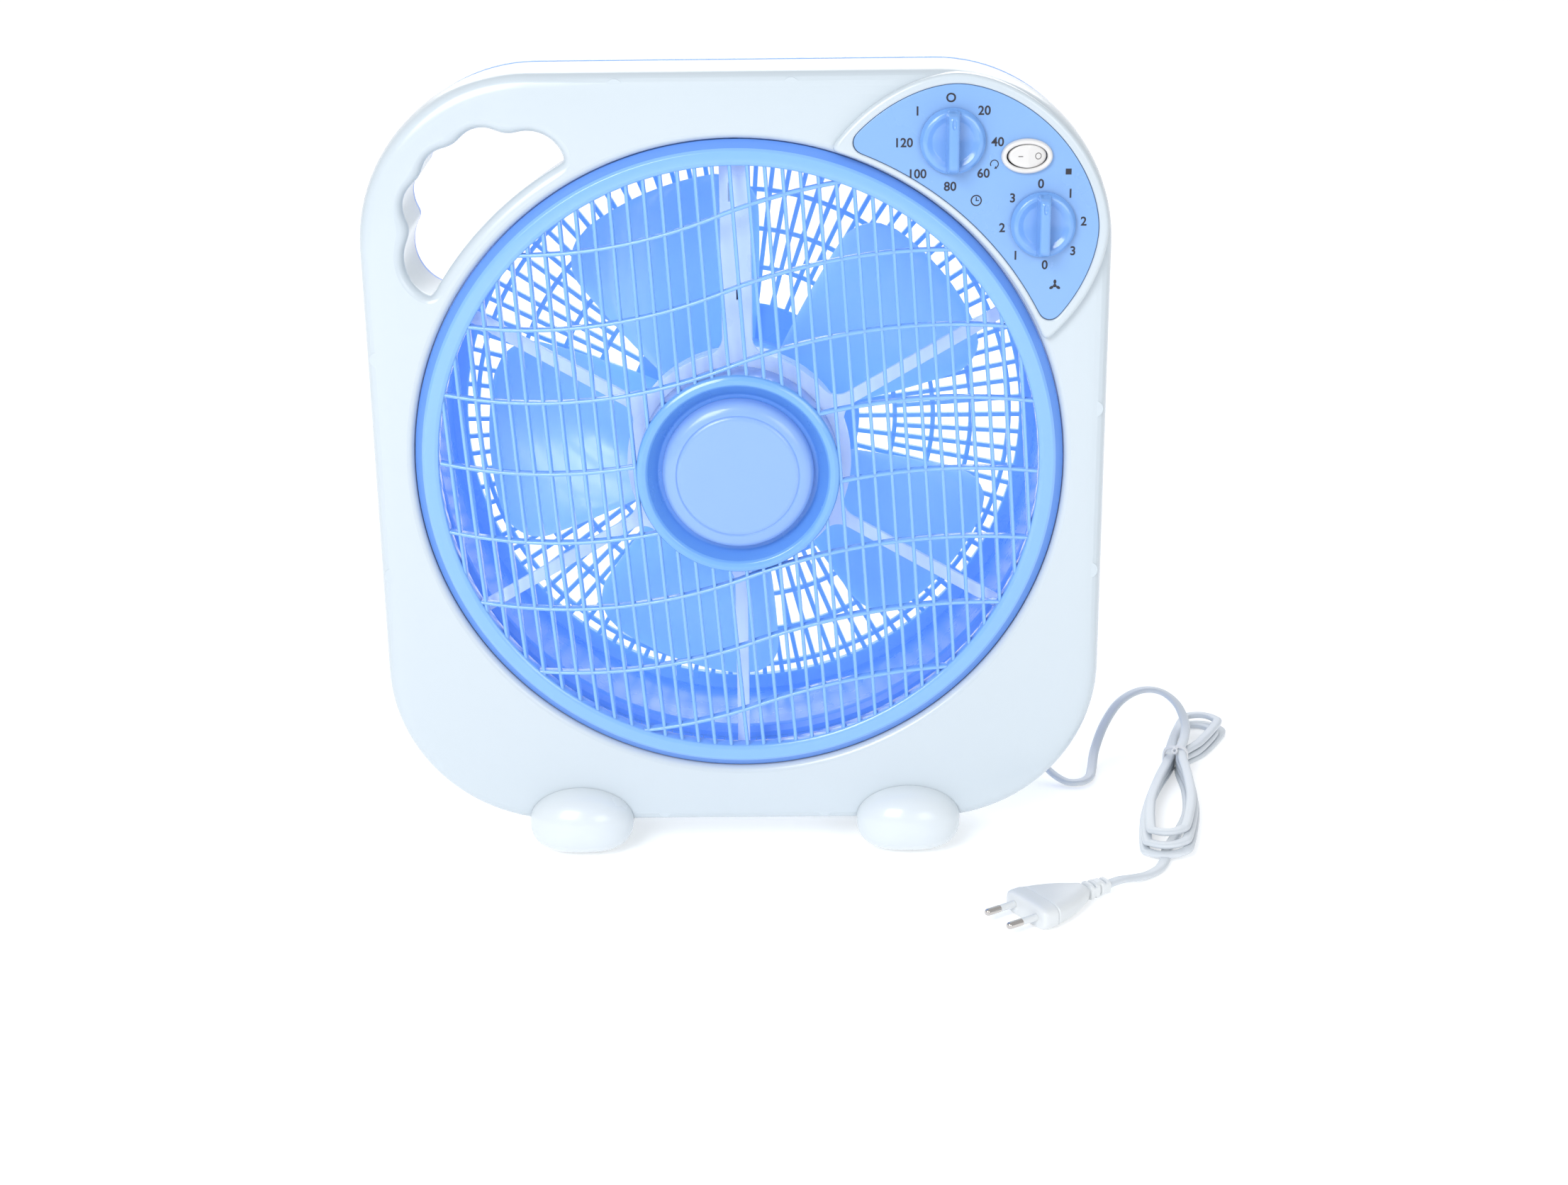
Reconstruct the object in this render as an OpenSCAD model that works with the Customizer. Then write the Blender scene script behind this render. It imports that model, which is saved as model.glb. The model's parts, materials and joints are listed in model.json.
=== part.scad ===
// Box fan of the 30 cm class with a slowly turning front grille.
// Millimetres. The fan's axis runs along Y, its front faces -Y, and its feet stand on z = 0.
// Pieces round the axis are drawn in the front view: x to the right, y up, z towards the viewer,
// with z = 0 at the housing's front face, so a depth of 20 lies at z = -20.

/* [Housing] */
// Width of the housing
body_w = 395; // [390:1:400]
// Height of the housing without its feet
body_h = 418; // [414:1:424]
// Radius of the housing's corners
corner_r = 92; // [88:1:94]
// Radius of the rounded front edge
edge_r = 6; // [4:0.5:7]
// Depth of the white front shell
shell_depth = 58; // [56:1:60]
// Depth of the blue edge behind it
rear_edge = 5; // [4:0.5:6]
// Wall thickness of both shells
wall = 2.5; // [2:0.1:3]
// Height of the housing above the surface under the feet
foot_drop = 16; // [14:1:18]

/* [Air duct] */
// Diameter of the front opening
opening_d = 350; // [349:0.5:351]
// Radius of the rounded lip of the opening
lip_r = 4; // [3:0.5:5]
// Inner radius of the rear half of the duct
drum_r = 168; // [166:0.5:169]
// Depth of the rear grille's back face
duct_depth = 114; // [113:0.5:118]

/* [Front grille] */
// Number of straight vanes
vane_count = 35; // [31:2:37]
// Distance from vane to vane
vane_pitch = 9.03; // [8.6:0.01:9.1]
// Distance from crossbar to crossbar
crossbar_pitch = 38.6; // [36:0.1:39]
// Thickness of vanes and crossbars
vane_t = 2; // [1.6:0.1:2.6]
// Angle at which the grille has stopped
grille_angle = 4; // [0:1:8]

/* [Fan blade] */
// Number of blades
blade_count = 5; // [3:1:6]
// Radius of the blade tips
blade_r = 144; // [136:1:146]
// Thickness of a blade
blade_t = 2.2; // [1.8:0.1:3]

/* [Rear grille] */
// Number of ribs in the outer zones
rib_count = 96; // [72:2:96]
// Width of a rib
rib_w = 2.6; // [2:0.1:3]

/* [Controls] */
// Diameter of the knobs
knob_d = 33.6; // [32:0.2:34]
// Height of the panel's rim above the front face
panel_raise = 5; // [4:0.5:6]

/* [Mains lead] */
// Width of the flat lead
cord_w = 5.8; // [5.4:0.1:6]
// Thickness of the flat lead
cord_t = 3.4; // [3:0.1:3.6]

/* [Hidden] */

$fn = 64;
gap = 0.2;          // between separate pieces of one body
fit = 0.05;         // radial clearance of a shaft in its bore
axis_z = foot_drop + body_h / 2;
hub_out = 19;       // from the front face to the front of the grille's cap
total_depth = hub_out + duct_depth;
front_y = hub_out - total_depth / 2;
opening_r = opening_d / 2;
front_duct_depth = 46;
back_face = shell_depth + rear_edge;

// Handle opening: finger lobes as [x, y, radius], and the radius of its side next to the fan
handle_lobes = [
    [-152, 113, 24.3], [-157, 140, 18.3], [-147, 156, 17.5], [-129, 165, 18.6], [-106, 159, 22.7],
];
handle_core = [-118, 120];
handle_inner_r = 181.5;

// Control panel: centre of its rounded-diamond outline, its exponent, and its two half-widths
panel_at = [114, 127];
panel_n = 1.78;
fascia_r = 74;
rim_r = 79.5;
fascia_inner_r = 178.8;
fascia_top = panel_raise - 0.8;
timer_at = [112, 172.5];
speed_at = [159, 129.5];
panel_screw_spots = [[82, 176], [158, 96], [125, 148]];
rocker_at = [150, 164.5];

screw_spots = [
    [189.5, -60], [-189.5, -60], [-189.5, 60], [189.5, 30],
    [-60, 200], [30, 200], [-45, -200], [45, -200],
];

foot_x = 92;
foot_size = [29, 19, 19];     // half-width, half-depth of the domed ends, half-height
foot_lift = 1.2;              // height of a foot's underside above the floor
pad_depths = [12, 82];

spider_arms = [30, 150, 210, 270, 330];   // the five narrow arms; the sixth, at 90, is a wide channel
spider_front = 12;
spider_r = 60.5;
spider_back = 26;
ring_bore = 171.4;  // inner radius of the ring that carries the spider's arms
motor_r = 42;
motor_front = 15;
core_front = 34.2;
core_back = 49.8;
motor_back = 66;
shaft_r = 4;
bearing_r = 8;
hub_wall_r = 50;
hub_back = 97;

cap_r = 40.4;
hub_ring_r = 54;
ring_inner_r = 160.5;
ring_outer_r = 173.6;
vane_depth = 7;
drive_r = 3;
hub_vane_z = 15;
rim_vane_z = 1;

gland_at = [150, 60];
gland_out = 29;
// Route of the lead from the gland to the hank, and from the hank to the plug
cord_route = [
    [150, 44.5, 60], [150, 58, 59], [152, 70, 52], [158, 77, 40], [165, 73, 26], [173, 61, 14],
    [182, 49, 6], [191, 41, 2.4], [200, 41, 2], [206, 48, 2], [209, 60, 2.6], [213, 79, 7],
    [221, 97, 17], [232, 111, 26], [246, 120, 30], [259, 120, 29], [268, 111, 24], [271, 96, 17],
];
lead_route = [
    [197.4, -108.6, 7], [205, -102, 6.2], [213, -95, 3.8], [222, -88, 2.2], [230, -79, 2.4], [235, -66, 5],
];
hank_ends = [[238, -52, 14], [246, -10, 17], [260, 62, 9], [284, 118, 16]];  // x, y, radius
hank_h = 17;
plug_at = [149.5, -139.5];
plug_angle = 32.9;
plug_length = 40;
relief_length = 17;
pin_length = 19;
pin_spacing = 18.6;
pin_z = 6.9;

// ---- shared shapes ----

module facing() translate([0, front_y, axis_z]) rotate([90, 0, 0]) children();
module slab(front, back) translate([0, 0, -back]) linear_extrude(back - front) children();
module rod(r, front, back) translate([0, 0, -back]) cylinder(r = r, h = back - front);
module tube(r_out, r_in, front, back) {
    difference() {
        rod(r_out, front, back);
        rod(r_in, front - 1, back + 1);
    }
}

module body_outline(inset = 0) {
    w = body_w - 2 * inset;
    h = body_h - 2 * inset;
    r = corner_r - inset;
    square([w - 2 * r, h], center = true);
    square([w, h - 2 * r], center = true);
    for (sx = [-1, 1], sy = [-1, 1])
        translate([sx * (w / 2 - r), sy * (h / 2 - r)]) circle(r);
}

// Sweeps a section round the housing's edge. The section's x runs out from a corner's centre.
module sweep_edge() {
    x = body_w / 2 - corner_r;
    y = body_h / 2 - corner_r;
    starts = [[x, y], [-x, y], [-x, -y], [x, -y]];
    for (k = [0:3])
        translate([starts[k][0], starts[k][1], 0]) rotate([0, 0, 90 * k]) {
            rotate_extrude(angle = 90) children();
            rotate([90, 0, 0]) linear_extrude(k % 2 == 0 ? 2 * y : 2 * x) children();
        }
}

module handle_outline(grow = 0) {
    offset(r = grow - 3) offset(r = 7) offset(r = -4)
        difference() {
            union() {
                for (lobe = handle_lobes) translate([lobe[0], lobe[1]]) circle(lobe[2]);
                polygon(concat([for (lobe = handle_lobes) [lobe[0], lobe[1]]], [handle_core]));
            }
            circle(handle_inner_r, $fn = 180);
        }
}

function diamond(r, n, steps = 96) = [
    for (i = [0:steps - 1])
        let (a = 360 * i / steps, k = r / pow(pow(abs(cos(a)), n) + pow(abs(sin(a)), n), 1 / n))
            [k * cos(a), k * sin(a)]
];

module panel_outline(r, inner_r, round_r) {
    offset(r = round_r) offset(r = -round_r)
        difference() {
            translate(panel_at) polygon(diamond(r, panel_n));
            circle(inner_r, $fn = 180);
        }
}

// Points along a smooth curve through a route, n steps between neighbours
function between(a, b, c, d, t) =
    0.5 * (2 * b + (c - a) * t + (2 * a - 5 * b + 4 * c - d) * t * t + (3 * b - a - 3 * c + d) * t * t * t);
function smooth(p, n) = let (last = len(p) - 1) concat(
    [for (i = [0:last - 1], j = [0:n - 1])
        between(p[max(i - 1, 0)], p[i], p[i + 1], p[min(i + 2, last)], j / n)],
    [p[last]]
);
function heading(p, i) =
    let (d = p[min(i + 1, len(p) - 1)] - p[max(i - 1, 0)]) d / norm(d);
function across(t) = let (s = cross(t, [0.02, 0.01, 1])) s / norm(s);

// A tube of oval section along a path, flat side down
module sweep_tube(path, half_w, half_t, sides) {
    rings = len(path);
    points = [
        for (i = [0:rings - 1])
            let (t = heading(path, i), s = across(t), u = cross(s, t))
                for (k = [0:sides - 1])
                    path[i] + half_w * cos(360 * k / sides) * s + half_t * sin(360 * k / sides) * u
    ];
    walls = [
        for (i = [0:rings - 2], k = [0:sides - 1])
            let (a = i * sides + k, b = i * sides + (k + 1) % sides)
                [a, b, b + sides, a + sides]
    ];
    ends = [
        [for (k = [sides - 1:-1:0]) k],
        [for (k = [0:sides - 1]) (rings - 1) * sides + k],
    ];
    polyhedron(points, concat(walls, ends), convexity = 6);
}

// ---- housing ----

module front_edge_section() {
    x = corner_r - edge_r;
    translate([corner_r - wall, -shell_depth]) square([wall, shell_depth - edge_r]);
    translate([x, -edge_r])
        intersection() {
            difference() {
                circle(edge_r);
                circle(edge_r - wall);
            }
            square(edge_r);
        }
    translate([x - 1, -wall]) square([1, wall]);
}

module duct_section() {
    translate([opening_r, -front_duct_depth]) square([wall, front_duct_depth - lip_r]);
    translate([opening_r + lip_r, -lip_r])
        intersection() {
            difference() {
                circle(lip_r);
                circle(lip_r - wall);
            }
            translate([-lip_r, 0]) square(lip_r);
        }
}

module front_housing() {
    color("aliceblue") facing() difference() {
        union() {
            sweep_edge() front_edge_section();
            slab(0, wall) difference() {
                body_outline(edge_r);
                circle(opening_r + lip_r);
                handle_outline();
            }
            rotate_extrude() duct_section();
            slab(0, shell_depth) difference() {
                handle_outline(wall);
                handle_outline();
            }
            slab(-panel_raise, lip_r) difference() {
                panel_outline(rim_r, opening_r + 0.3, 2);
                panel_outline(fascia_r + gap, fascia_inner_r - gap, 6);
            }
            for (p = screw_spots) translate(p) rod(4.5, wall - 0.5, shell_depth);
        }
        for (p = screw_spots) translate(p) rod(1.5, shell_depth - 16, shell_depth + 1);
        for (p = [timer_at, speed_at]) translate(p) rod(5, -1, wall + 1);
        for (p = panel_screw_spots) translate(p) rod(1.3, -1, wall + 1);
        translate(rocker_at) slab(-1, wall + 1) square([22, 12.6], center = true);
        translate([0, opening_r + 1]) slab(8, 21) square([13, 8], center = true);
    }
}

module drum_section() {
    polygon([
        [drum_r, -front_duct_depth - gap], [opening_r + wall, -front_duct_depth - gap],
        [opening_r + wall, -front_duct_depth - wall], [drum_r + wall, -front_duct_depth - wall - 4],
        [drum_r + wall, -duct_depth + 6], [drum_r, -duct_depth + 6],
    ]);
}

module rear_housing() {
    color("cornflowerblue") facing() difference() {
        union() {
            slab(shell_depth + gap, back_face) difference() {
                body_outline();
                body_outline(wall);
            }
            slab(back_face - wall, back_face) body_outline(0.5);
            slab(shell_depth + gap, back_face) handle_outline(wall);
        }
        slab(shell_depth, back_face + 1) handle_outline();
        rod(drum_r + wall + gap, shell_depth, back_face + 1);
        for (p = screw_spots) translate(p) rod(2, shell_depth, back_face + 1);
        translate([gland_at[0], gland_at[1] - axis_z]) rod(5.5, shell_depth, back_face + 1);
    }
}

module air_duct() color("cornflowerblue") facing() rotate_extrude() drum_section();

module rear_grille_pattern() {
    ring_radii = [66, 88, 110, 132, 154];
    circle(ring_radii[0]);
    for (r = ring_radii) difference() {
        circle(r + rib_w / 2);
        circle(r - rib_w / 2);
    }
    for (i = [0:rib_count - 1])
        rotate(360 * i / rib_count) translate([ring_radii[1], -rib_w / 2]) square([74, rib_w]);
    for (i = [0:rib_count / 2 - 1])
        rotate(720 * i / rib_count) translate([ring_radii[0] - 2, -rib_w / 2]) square([24, rib_w]);
}

module rear_grille() {
    color("cornflowerblue") facing() {
        slab(duct_depth - 5, duct_depth - 1.4) rear_grille_pattern();
        rotate_extrude() polygon([
            [160, -duct_depth], [drum_r, -duct_depth], [drum_r + 3, -duct_depth + 3],
            [drum_r + 3, -duct_depth + 6 - gap], [160, -duct_depth + 6 - gap],
        ]);
    }
}

// ---- motor carrier ----

module spider_outline() {
    offset(r = -9) offset(delta = 9) {
        circle(spider_r);
        for (a = spider_arms) rotate(a) translate([0, -3.4]) square([opening_r - 2, 6.8]);
        translate([-8, 0]) square([16, opening_r - 2]);
    }
}

module motor_spider() {
    color("lavender") facing() difference() {
        union() {
            slab(spider_front, spider_front + wall) spider_outline();
            tube(spider_r - 0.15, spider_r - wall, spider_front + 0.5, spider_back);
            for (a = spider_arms) rotate([0, 0, a])
                slab(spider_front + 1, spider_back - 2)
                    translate([spider_r - 2, -1.2]) square([ring_bore - spider_r + 1.6, 2.4]);
            for (x = [-7.6, 5.6]) slab(spider_front + 1, spider_back - 2)
                translate([x, spider_r - 2]) square([2, ring_bore - spider_r + 1.6]);
        }
        slab(spider_front - 1, spider_front + 3) {
            translate([-3.5, 140]) square([2.5, 10]);
            translate([0, 88]) square([2.5, 7]);
        }
        rod(bearing_r + 2, spider_front - 1, spider_front + 5);
        for (a = [45:90:359]) rotate([0, 0, a])
            translate([33, 0]) rod(2.2, spider_front - 1, spider_front + 5);
        translate([0, spider_r]) slab(spider_front + 3, spider_back + 1) square([11.6, 10], center = true);
        translate([0, opening_r - 2]) slab(spider_front + 2, 21) square([11.6, 12], center = true);
    }
}

// Ring in the duct that the carrier's arms stand on, notched for the wires
module carrier_ring() {
    color("lavender") facing() difference() {
        tube(opening_r - 0.1, ring_bore, spider_front + wall + gap, spider_back);
        translate([0, opening_r - 2]) slab(spider_front, 21) square([11.6, 12], center = true);
    }
}

module wire_duct_cover() {
    color("lavender") facing()
        slab(spider_back - 2 + gap, spider_back - gap) translate([-8, spider_r + 4]) square([16, 104]);
}

// ---- main motor ----

module motor_front_bell() {
    color("silver") facing() difference() {
        rod(motor_r, motor_front, core_front - gap);
        rod(motor_r - 3, motor_front + 3, core_front);
        rod(bearing_r - 2, motor_front - 1, motor_front + 4);
        for (a = [45:90:359]) rotate([0, 0, a]) translate([33, 0]) rod(1.8, motor_front - 1, motor_front + 4);
        for (a = [0:30:359]) rotate([0, 0, a])
            translate([22, -2]) slab(motor_front - 1, motor_front + 4) square([8, 4]);
    }
    color("silver") facing() tube(bearing_r + 3, bearing_r, motor_front + 3, motor_front + 9);
}

module motor_rear_bell() {
    color("silver") facing() difference() {
        rod(motor_r, core_back + gap, motor_back);
        rod(motor_r - 3, core_back, motor_back - 3);
        rod(bearing_r - 2, motor_back - 4, motor_back + 1);
        for (a = [0:30:359]) rotate([0, 0, a])
            translate([22, -2]) slab(motor_back - 4, motor_back + 1) square([8, 4]);
    }
    color("silver") facing() tube(bearing_r + 3, bearing_r, motor_back - 9, motor_back - 3);
}

module motor_bearings() {
    color("darkgoldenrod") facing() {
        tube(bearing_r, shaft_r + fit, motor_front + 3 + gap, motor_front + 9);
        tube(bearing_r, shaft_r + fit, motor_back - 9, motor_back - 3 - gap);
    }
}

module motor_shaft() {
    color("gainsboro") facing() rod(shaft_r, motor_front + 1, hub_back + 9);
}

module motor_rotor() {
    color("dimgray") facing() tube(23, shaft_r, core_front - 2, core_back + 2);
}

module stator_core() {
    color("slategray") facing() difference() {
        tube(motor_r, 23.6, core_front, core_back);
        for (a = [22.5:45:359]) rotate([0, 0, a])
            translate([29, -3]) slab(core_front - 1, core_back + 1) square([7, 6]);
    }
}

module stator_windings() {
    color("peru") facing() {
        tube(37.5, 26, core_front - 9, core_front - gap);
        tube(37.5, 26, core_back + gap, core_back + 9);
        for (a = [22.5:45:359]) rotate([0, 0, a]) translate([29.2, -2.8])
            slab(core_front - 1, core_back + 1) square([6.6, 5.6]);
    }
}

module motor_screws() {
    color("silver") facing() for (a = [45:90:359]) rotate([0, 0, a]) translate([33, 0]) {
        rod(1.7, spider_front, motor_front + 8);
        rod(3.6, spider_front - 2.2, spider_front - 0.05);
    }
}

// ---- fan blade ----

root_half = 29;      // half-angle of a blade at the hub, degrees
tip_half = 24;       // and at its tip
blade_rise = 18;     // axial half-height of a blade, from its middle to an edge
blade_middle = 79;   // depth of a blade's middle
tip_round = 0.78;    // share of the span at which the tip corners start to round
corner_half = 9;     // angle that the rounding takes off each tip corner
blade_angle = 38;    // where the first blade has stopped

function blade_half(v) =
    let (w = max(0, (v - tip_round) / (1 - tip_round)))
        root_half + (tip_half - root_half) * v - corner_half * (1 - sqrt(max(0, 1 - w * w)));
function blade_point(u, v, side) =
    let (r = hub_wall_r - 1.5 + (blade_r - hub_wall_r + 1.5) * v, a = u * blade_half(v))
        [
            r * cos(a), r * sin(a),
            -blade_middle + blade_rise * a / tip_half * (1 - 0.15 * v) + side * blade_t / 2
        ];

module blade() {
    nu = 10;
    nv = 12;
    row = nu + 1;
    layer = row * (nv + 1);
    points = [
        for (side = [-1, 1], j = [0:nv], i = [0:nu]) blade_point(2 * i / nu - 1, j / nv, side)
    ];
    function at(side, j, i) = side * layer + j * row + i;
    skins = [
        for (j = [0:nv - 1], i = [0:nu - 1]) each [
            [at(0, j, i), at(0, j + 1, i), at(0, j + 1, i + 1)],
            [at(0, j, i), at(0, j + 1, i + 1), at(0, j, i + 1)],
            [at(1, j, i), at(1, j + 1, i + 1), at(1, j + 1, i)],
            [at(1, j, i), at(1, j, i + 1), at(1, j + 1, i + 1)],
        ]
    ];
    edges = concat(
        [for (i = [0:nu - 1]) [at(0, 0, i), at(0, 0, i + 1), at(1, 0, i + 1), at(1, 0, i)]],
        [for (i = [0:nu - 1]) [at(0, nv, i + 1), at(0, nv, i), at(1, nv, i), at(1, nv, i + 1)]],
        [for (j = [0:nv - 1]) [at(0, j + 1, 0), at(0, j, 0), at(1, j, 0), at(1, j + 1, 0)]],
        [for (j = [0:nv - 1]) [at(0, j, nu), at(0, j + 1, nu), at(1, j + 1, nu), at(1, j, nu)]]
    );
    polyhedron(points, concat(skins, edges), convexity = 8);
}

module fan_blade() {
    color("lightskyblue") facing() {
        tube(hub_wall_r, hub_wall_r - 3, 59, hub_back);
        tube(hub_wall_r, shaft_r + fit, hub_back - 3, hub_back);
        tube(9, shaft_r + fit, motor_back + 4, hub_back - 1);
        for (k = [0:blade_count - 1]) rotate([0, 0, blade_angle + 360 * k / blade_count]) {
            blade();
            slab(hub_back - 12, hub_back - 1) translate([7, -1]) square([hub_wall_r - 8, 2]);
        }
    }
}

module blade_nut() {
    color("white") facing() difference() {
        translate([0, 0, -hub_back - 8]) cylinder(r1 = 6, r2 = 9, h = 8 - gap);
        rod(shaft_r + fit, hub_back, hub_back + 9);
    }
}

// ---- turning front grille ----

dome_r = (ring_inner_r * ring_inner_r - hub_ring_r * hub_ring_r) / (2 * (hub_vane_z - rim_vane_z));
dome_z = hub_vane_z - sqrt(dome_r * dome_r - hub_ring_r * hub_ring_r);
wave_span = 176;     // half of an S-shaped crossbar's full wave
wave_height = 13;
wave_r = (wave_span * wave_span / 4 + wave_height * wave_height) / (2 * wave_height);

module crossbar() {
    for (s = [0, 180]) rotate(s) intersection() {
        translate([wave_span / 2, wave_height - wave_r]) difference() {
            circle(wave_r + vane_t / 2);
            circle(wave_r - vane_t / 2);
        }
        translate([-0.05, -2]) square([wave_span, wave_height + 4]);
    }
}

module grille_pattern() {
    middle = (vane_count - 1) / 2;
    for (k = [-middle:middle])
        translate([k * vane_pitch, 0]) square([vane_t, 2 * ring_inner_r + 6], center = true);
    for (j = [-3.5:1:3.5]) translate([0, j * crossbar_pitch]) crossbar();
}

module dome_shell() {
    intersection() {
        difference() {
            translate([0, 0, dome_z]) sphere(dome_r);
            translate([0, 0, dome_z - vane_depth]) sphere(dome_r);
        }
        tube(ring_inner_r + 1, hub_ring_r - 1, -hub_vane_z - 2, vane_depth + 2);
    }
}

module hub_section() {
    polygon([
        [hub_ring_r - 2.5, -6], [hub_ring_r, -6], [hub_ring_r, 14.5], [hub_ring_r - 2, 17],
        [48.5, 17], [42.6, 9.4], [6.5, 9.4], [6.5, 13], [drive_r, 13], [drive_r, 7],
        [41.6, 7], [47.4, 14.6], [hub_ring_r - 2.5, 14.6],
    ]);
}

module ring_section() {
    polygon([
        [ring_inner_r, -7], [ring_inner_r, 0.6], [ring_inner_r + 2, 2], [168, 2], [169.4, 0.8],
        [ring_outer_r, -8], [ring_outer_r, -11], [ring_outer_r - 2, -11], [ring_outer_r - 2, -8.4],
        [168, -0.4], [ring_inner_r + 2, -0.4], [ring_inner_r + 2, -7],
    ]);
}

module rotor_grille() {
    color("lightskyblue") facing() rotate([0, 0, grille_angle]) {
        rotate_extrude() hub_section();
        rotate_extrude() ring_section();
        intersection() {
            slab(-hub_vane_z - 2, vane_depth + 2) grille_pattern();
            dome_shell();
        }
    }
}

module grille_cap() {
    color("powderblue") facing() rotate_extrude() polygon([
        [0, hub_out], [20, hub_out - 0.2], [34, hub_out - 0.9], [37.6, hub_out - 1.8], [39.6, hub_out - 3.6],
        [cap_r, hub_out - 6], [cap_r, 9.6], [cap_r - 2, 9.6], [cap_r - 2, hub_out - 6.4],
        [36.6, hub_out - 3.8], [0, hub_out - 2],
    ]);
}

module grille_clip() {
    color("dimgray") facing() translate([0, 0, 13 + gap]) difference() {
        cylinder(r = 6.5, h = 1.4);
        translate([0, 0, -1]) cylinder(r = drive_r - 0.4 + fit, h = 4);
        translate([-1.5, 0, -1]) cube([3, 8, 4]);
    }
}

module drive_shaft() {
    color("gainsboro") facing() {
        rod(drive_r, -13 - gap / 2, 2);
        rod(drive_r - 0.4, -15.6, -13);
        rod(drive_r, -15.8, -14.8);
    }
}

module grille_motor() {
    color("silver") facing() difference() {
        union() {
            rod(25, -3.4, spider_front - gap);
            rod(5.5, -6, 0);
            for (s = [0, 180]) rotate([0, 0, s]) slab(spider_front - 1.4, spider_front - gap) difference() {
                translate([0, -6]) square([34, 12]);
                translate([30, 0]) circle(2);
            }
        }
        rod(drive_r + fit, -7, 3);
    }
}

// ---- controls ----

module control_panel() {
    color("cornflowerblue") facing() difference() {
        slab(-fascia_top, -gap) difference() {
            panel_outline(fascia_r, fascia_inner_r, 6);
            for (p = [timer_at, speed_at]) translate(p) circle(5);
            translate(rocker_at) square([22, 12.6], center = true);
        }
        for (p = panel_screw_spots) translate(p) rod(1.3, -3, 0);
    }
}

module panel_screws() {
    color("silver") facing() for (p = panel_screw_spots) translate(p) {
        rod(1.2, -2.8, wall + 1);
        rod(3, wall + 0.05, wall + 2);
    }
}

module knob() {
    base = fascia_top + 0.6;
    r = knob_d / 2;
    difference() {
        union() {
            translate([0, 0, base]) cylinder(r = r, h = 3.6);
            translate([0, 0, base + 3.6]) cylinder(r1 = r, r2 = r - 2.4, h = 2.6);
            intersection() {
                translate([0, 0, base + 3]) cylinder(r = r - 0.8, h = 11);
                translate([-4, -r, base]) cube([8, 2 * r, 20]);
            }
        }
        translate([0, 0, base - 1]) cylinder(r = drive_r, h = 10);
    }
}

module timer_knob() color("lightskyblue") facing() translate(timer_at) knob();
module speed_knob() color("lightskyblue") facing() translate(speed_at) knob();
module timer_shaft() color("gainsboro") facing() translate(timer_at) rod(drive_r, -fascia_top - 9, 20);
module speed_shaft() color("gainsboro") facing() translate(speed_at) rod(drive_r, -fascia_top - 9, 14);

module timer_body() {
    color("gainsboro") facing() translate(timer_at) difference() {
        union() {
            rotate([0, 0, -33]) slab(wall + 1, 26) square([38, 38], center = true);
            rod(4.8, -1, wall + 2);
        }
        rod(drive_r + fit, -2, 21);
    }
}

module speed_switch() {
    color("saddlebrown") facing() translate(speed_at) difference() {
        union() {
            rotate([0, 0, -51]) slab(wall + 1, 17) square([30, 30], center = true);
            rod(4.8, -1, wall + 2);
        }
        rod(drive_r + fit, -2, 15);
    }
}

module oval(half_w, half_h) scale([1, half_h / half_w]) circle(half_w);

module rocker_bezel() {
    color("ghostwhite") facing() translate(rocker_at) {
        slab(-fascia_top - 3, -fascia_top - gap) difference() {
            oval(13.2, 9);
            oval(10.8, 6.5);
        }
    }
}

rocker_half = 9.2;
rocker_tilt = 8;
rocker_pivot_z = 2;

module rocker() {
    color("ghostwhite") facing() translate([rocker_at[0], rocker_at[1], rocker_pivot_z])
        rotate([0, rocker_tilt, 0]) {
            difference() {
                linear_extrude(8) oval(rocker_half, 5.4);
                for (s = [-1, 1]) translate([0, 0, 4.9]) rotate([0, -s * rocker_tilt, 0])
                    translate([s > 0 ? -0.4 : -20, -10, 0]) cube([20.4, 20, 10]);
            }
            rotate([90, 0, 0]) cylinder(r = 1.2, h = 12.2, center = true);
        }
}

module rocker_switch() {
    color("dimgray") facing() translate(rocker_at) {
        slab(0, 20) difference() {
            square([21.4, 12], center = true);
            offset(delta = -1.2) square([21.4, 12], center = true);
        }
        slab(18, 20) square([21.4, 12], center = true);
        for (x = [-6, 0, 6]) translate([x, 0]) slab(20, 27) square([0.8, 4.8], center = true);
    }
}

module run_capacitor() {
    color("black") facing() translate([143, -150]) rotate([0, 0, 44])
        slab(wall + 4, 32) square([36, 15], center = true);
}

module terminal_block() {
    color("ivory") facing() translate([110, -177]) rotate([0, 0, 34])
        slab(wall + 4, 20) square([30, 16], center = true);
}

// Wires: from the controls round the duct and down the spider's wide arm, and from the lead's entry
wire_route_top = [
    [99.1, 188, -14], [89, 194.5, -14], [70, 195, -14], [30, 189, -14], [6, 185, -14], [0, 176, -16],
    [0, 150, -18], [0, 100, -18], [0, 70, -18], [0, 50, -22], [0, 42.4, -22],
];
wire_route_side = [
    [150, -165, -56], [150, -160, -44], [162, -132, -38], [175, -62, -36], [185, -10, -36],
    [181, 18, -34], [179, 34, -30], [176, 80, -20], [166, 100, -12],
];

module wiring() {
    color("black") facing() {
        sweep_tube(smooth(wire_route_top, 3), 2.2, 2.2, 8);
        sweep_tube(smooth(wire_route_side, 3), 2.2, 2.2, 8);
    }
}

// ---- feet and fasteners ----

// Rings of a foot's bar from its domed nose to its domed tail: [distance along it, share of full size]
function foot_rings(steps = 7) = let (dome = foot_size[1]) concat(
    [for (i = [0:steps]) let (a = 4 + 86 * i / steps) [dome * (1 - cos(a)), sin(a)]],
    [for (i = [steps:-1:0]) let (a = 4 + 86 * i / steps) [total_depth - dome * (1 - cos(a)), sin(a)]]
);

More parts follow.
